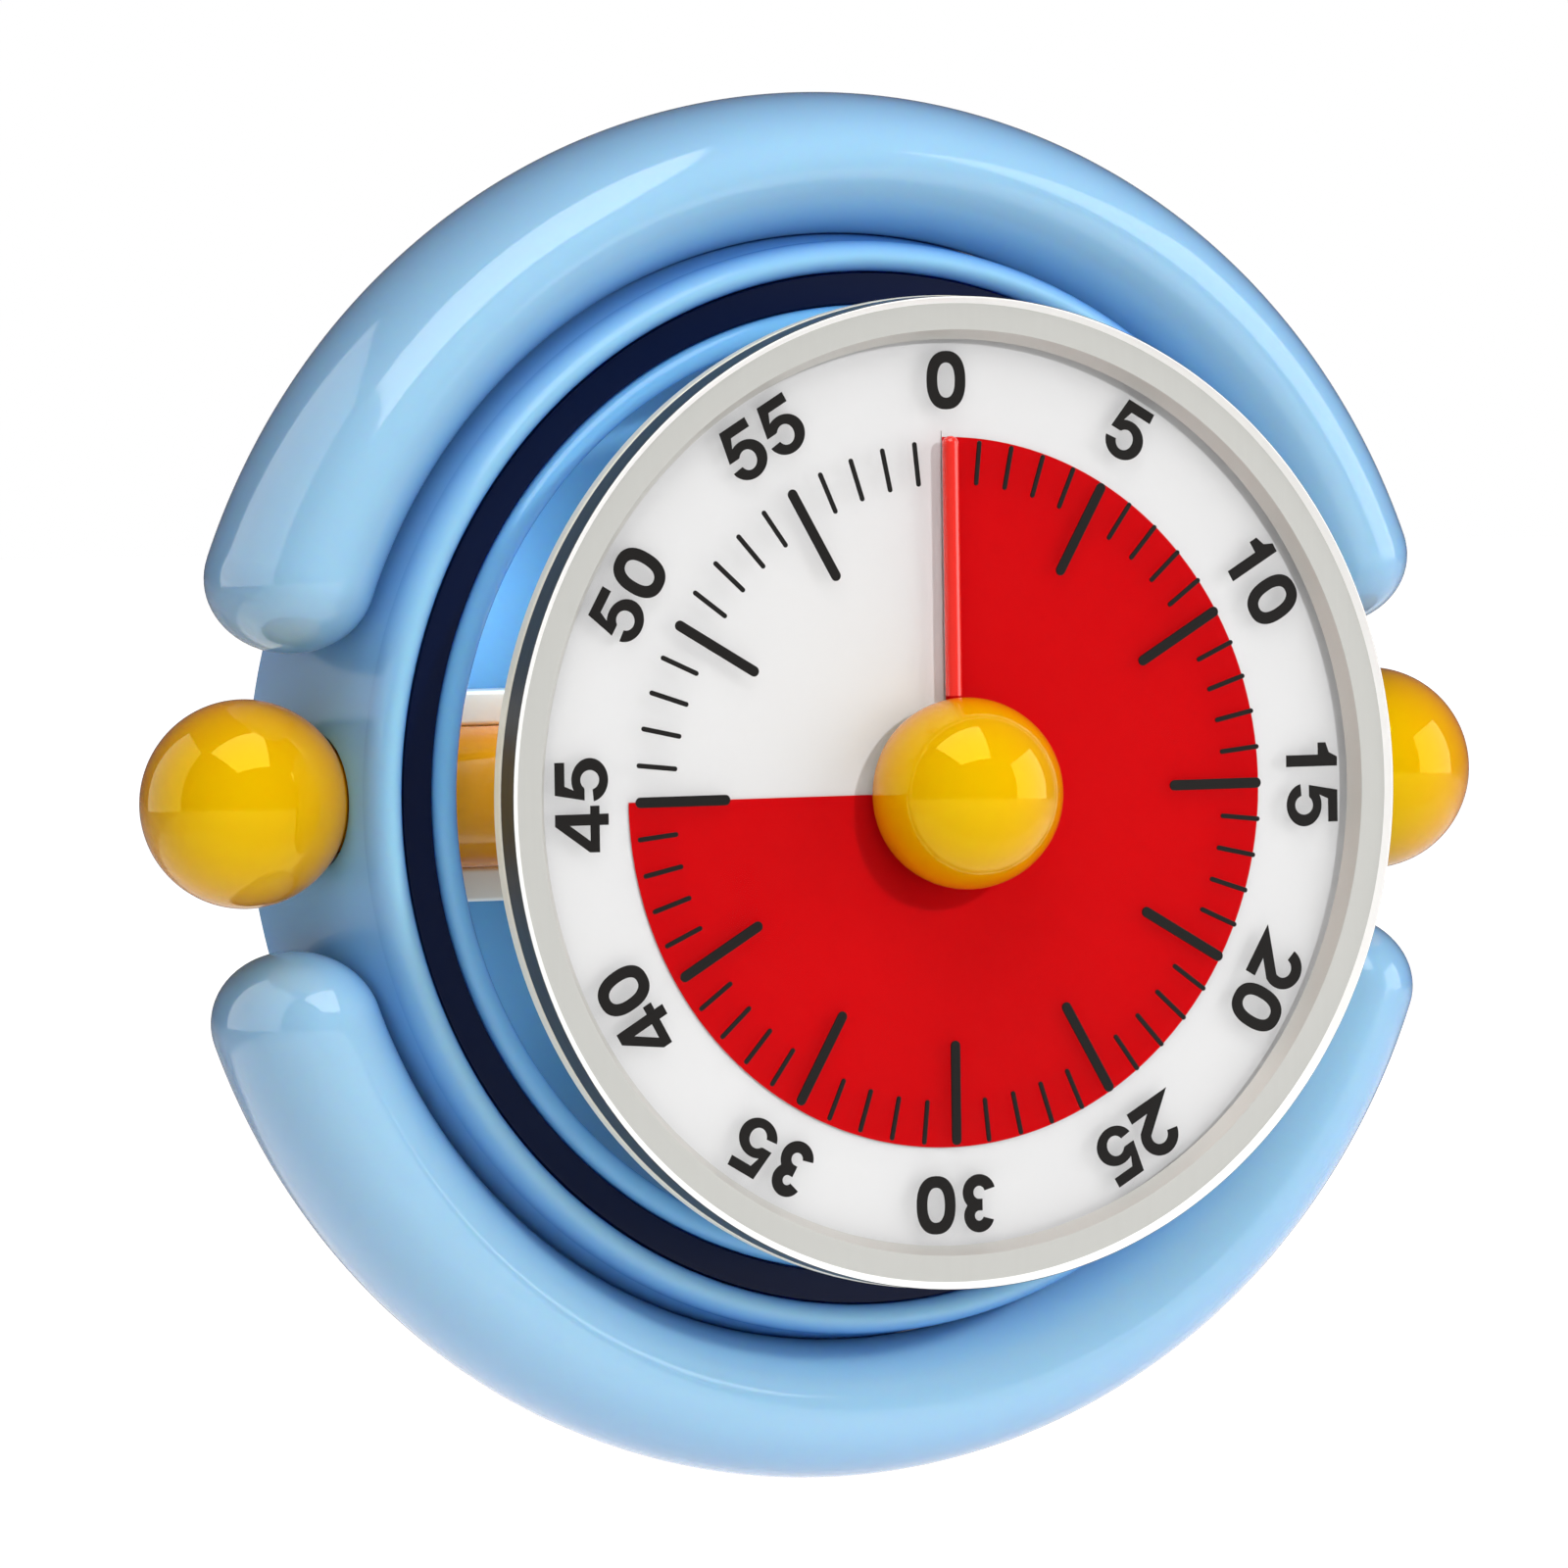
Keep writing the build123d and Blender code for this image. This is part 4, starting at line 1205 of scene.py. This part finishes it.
CAMERA_AZIMUTH = -27
CAMERA_ELEVATION = 2
CAMERA_DISTANCE = 1.096
CAMERA_LENS = 308
CAMERA_ROLL = -0.84
CAMERA_AIM = (-0.0028, 0.00016)
KEY_WAY = (10, 20)
KEY_ENERGY = 1.15
CUP_GLOWS = (("cup glow high", 0.0165, 0.0036), ("cup glow low", -0.0165, 0.0011))
CUP_GLOW_SIDE = -0.029
CUP_GLOW_DEPTH = 0.013
ROOM_GLOW = 0.14
FLOOR_DROP = 0.085
# The distances over which the floor's painted glow rises from half to full.
FLOOR_GLOW_FADE = (0.2, 0.7)


class TIMER_OT_stage(bpy.types.Operator):
    """Set the pale floor, the studio lights and the camera"""

    bl_idname = "timer.stage"
    bl_label = "Stage"

    def execute(self, context):
        self.floor()
        self.surroundings()
        panel("overhead", (0, 0.8, 0.55), (0, -1, 0), (0.77, 0.83), 3.0, (1.0, 0.99, 0.97))
        panel("right", (1.0, 0.175, 0.125), (-1, 0, 0), (0.87, 1.0), 2.2)
        left = panel("left", (-1.0, 0.45, -0.2), (1, 0, 0), (1.1, 1.5), 1.2)
        left.visible_diffuse = False
        panel("below", (0, -0.08, -0.06), (0, 1, 0), (0.5, 0.275), 0.3)
        ground_light = panel("ground", (0, -0.082, 0.3), (0, 1, 0), (1.6, 0.9), 0.25)
        ground_light.visible_diffuse = False
        fill = panel("fill", (-0.35, 0.35, 0.9), (0.35, -0.35, -0.9), (0.5, 0.5), 1.2)
        fill.visible_glossy = False
        self.cup_glow()
        self.key()
        self.camera()
        context.scene.view_settings.view_transform = "Standard"
        return {"FINISHED"}

    def key(self):
        lamp = bpy.data.lights.new("key", "SUN")
        lamp.energy = KEY_ENERGY
        lamp.angle = math.radians(3)
        holder = hang("key", lamp, toward(*KEY_WAY, 1.5))
        way = toward(*KEY_WAY, 1.0) - toward(0, 0, 0)
        holder.rotation_euler = way.to_track_quat("Z", "Y").to_euler()
        holder.visible_glossy = False

    def cup_glow(self):
        """Soft light low in the cup, for the light that its pale wall passes on."""
        for name, up, energy in CUP_GLOWS:
            lamp = bpy.data.lights.new(name, "POINT")
            lamp.energy = energy
            lamp.shadow_soft_size = 0.003
            holder = hang(name, lamp, (CUP_GLOW_SIDE, -CUP_GLOW_DEPTH, up))
            holder.visible_camera = False
            holder.visible_glossy = False

    def floor(self):
        """A wide pale floor that glows for the camera only, which is painted light: the glow is weaker
        near the timer and full further away.
        """
        bm = bmesh.new()
        bmesh.ops.create_circle(bm, cap_ends=True, cap_tris=True, segments=96, radius=6.0)
        ground = loose_object("floor", bm)
        ground.location = (0, 0, -FLOOR_DROP)
        pale = (*colours().floor, 1)
        settings = {"Colour": pale, "Deep Colour": pale, "Cloud Scale": 3.0, "Polish": 0.8}
        bump = (0.02, 0.0002)
        glowing_floor = finish_material("pale floor", moulded_skin(), settings, bump, Emission_Strength=1.0)
        tree = glowing_floor.node_tree
        # Painted light: a glow seen by the camera only, weaker near the timer.
        place = tree.nodes.new("ShaderNodeTexCoord")
        reach = tree.nodes.new("ShaderNodeVectorMath")
        reach.operation = "LENGTH"
        far = tree.nodes.new("ShaderNodeMapRange")
        far.inputs["From Min"].default_value, far.inputs["From Max"].default_value = FLOOR_GLOW_FADE
        far.inputs["To Min"].default_value = 0.5
        far.inputs["To Max"].default_value = 1.0
        seen = tree.nodes.new("ShaderNodeLightPath")
        share = tree.nodes.new("ShaderNodeMath")
        share.operation = "MULTIPLY"
        tree.links.new(place.outputs["Object"], reach.inputs[0])
        tree.links.new(reach.outputs["Value"], far.inputs["Value"])
        tree.links.new(far.outputs["Result"], share.inputs[0])
        tree.links.new(seen.outputs["Is Camera Ray"], share.inputs[1])
        tree.links.new(share.outputs["Value"], tree.nodes["Principled BSDF"].inputs["Emission Color"])
        ground.data.materials.append(glowing_floor)

    def surroundings(self):
        """A dim room for the light that falls on the timer, seen as plain white behind it."""
        world = bpy.data.worlds.new("studio")
        world.use_nodes = True
        tree = world.node_tree
        room = tree.nodes["Background"]
        room.inputs["Color"].default_value = (1, 1, 1, 1)
        room.inputs["Strength"].default_value = ROOM_GLOW
        backing = tree.nodes.new("ShaderNodeBackground")
        backing.inputs["Color"].default_value = (1, 1, 1, 1)
        backing.inputs["Strength"].default_value = 1.0
        seen = tree.nodes.new("ShaderNodeLightPath")
        mix = tree.nodes.new("ShaderNodeMixShader")
        tree.links.new(seen.outputs["Is Camera Ray"], mix.inputs["Fac"])
        tree.links.new(room.outputs["Background"], mix.inputs[1])
        tree.links.new(backing.outputs["Background"], mix.inputs[2])
        tree.links.new(mix.outputs["Shader"], tree.nodes["World Output"].inputs["Surface"])
        bpy.context.scene.world = world

    def camera(self):
        lens = bpy.data.cameras.new("camera")
        lens.lens = CAMERA_LENS
        lens.sensor_width = 36
        lens.clip_end = 20
        eye = bpy.data.objects.new("camera", lens)
        away = toward(CAMERA_AZIMUTH, CAMERA_ELEVATION, CAMERA_DISTANCE) - toward(0, 0, 0)
        turned = away.to_track_quat("Z", "Y")
        side = turned @ Vector((1, 0, 0))
        up = turned @ Vector((0, 1, 0))
        aim = toward(0, 0, 0) + side * CAMERA_AIM[0] + up * CAMERA_AIM[1]
        eye.location = aim + away
        roll = Matrix.Rotation(math.radians(CAMERA_ROLL), 3, "Z").to_quaternion()
        eye.rotation_mode = "QUATERNION"
        eye.rotation_quaternion = turned @ roll
        bpy.context.scene.collection.objects.link(eye)
        bpy.context.scene.camera = eye


OPERATORS = (
    TIMER_OT_drum,
    TIMER_OT_liner,
    TIMER_OT_groove,
    TIMER_OT_bumpers,
    TIMER_OT_bushes,
    TIMER_OT_cradles,
    TIMER_OT_back,
    TIMER_OT_axle,
    TIMER_OT_case,
    TIMER_OT_bezel,
    TIMER_OT_face,
    TIMER_OT_marks,
    TIMER_OT_numerals,
    TIMER_OT_rod,
    TIMER_OT_sheet,
    TIMER_OT_knob,
    TIMER_OT_movement,
    TIMER_OT_stage,
)


class TIMER_PT_pieces(bpy.types.Panel):
    """Buttons for each piece of the timer"""

    bl_idname = "TIMER_PT_pieces"
    bl_label = "Kitchen Timer"
    bl_space_type = "VIEW_3D"
    bl_region_type = "UI"
    bl_category = "Timer"

    def draw(self, context):
        for operator in OPERATORS:
            self.layout.operator(operator.bl_idname)


CLASSES = (TimerSizes, TimerColours, *OPERATORS, TIMER_PT_pieces)


def register():
    for item in CLASSES:
        bpy.utils.register_class(item)
    bpy.types.Scene.kitchen_timer_sizes = PointerProperty(type=TimerSizes)
    bpy.types.Scene.kitchen_timer_colours = PointerProperty(type=TimerColours)


def unregister():
    del bpy.types.Scene.kitchen_timer_sizes
    del bpy.types.Scene.kitchen_timer_colours
    for item in reversed(CLASSES):
        bpy.utils.unregister_class(item)


def main():
    register()
    for operator in OPERATORS:
        group, name = operator.bl_idname.split(".")
        getattr(getattr(bpy.ops, group), name)()


if __name__ == "__main__":
    main()
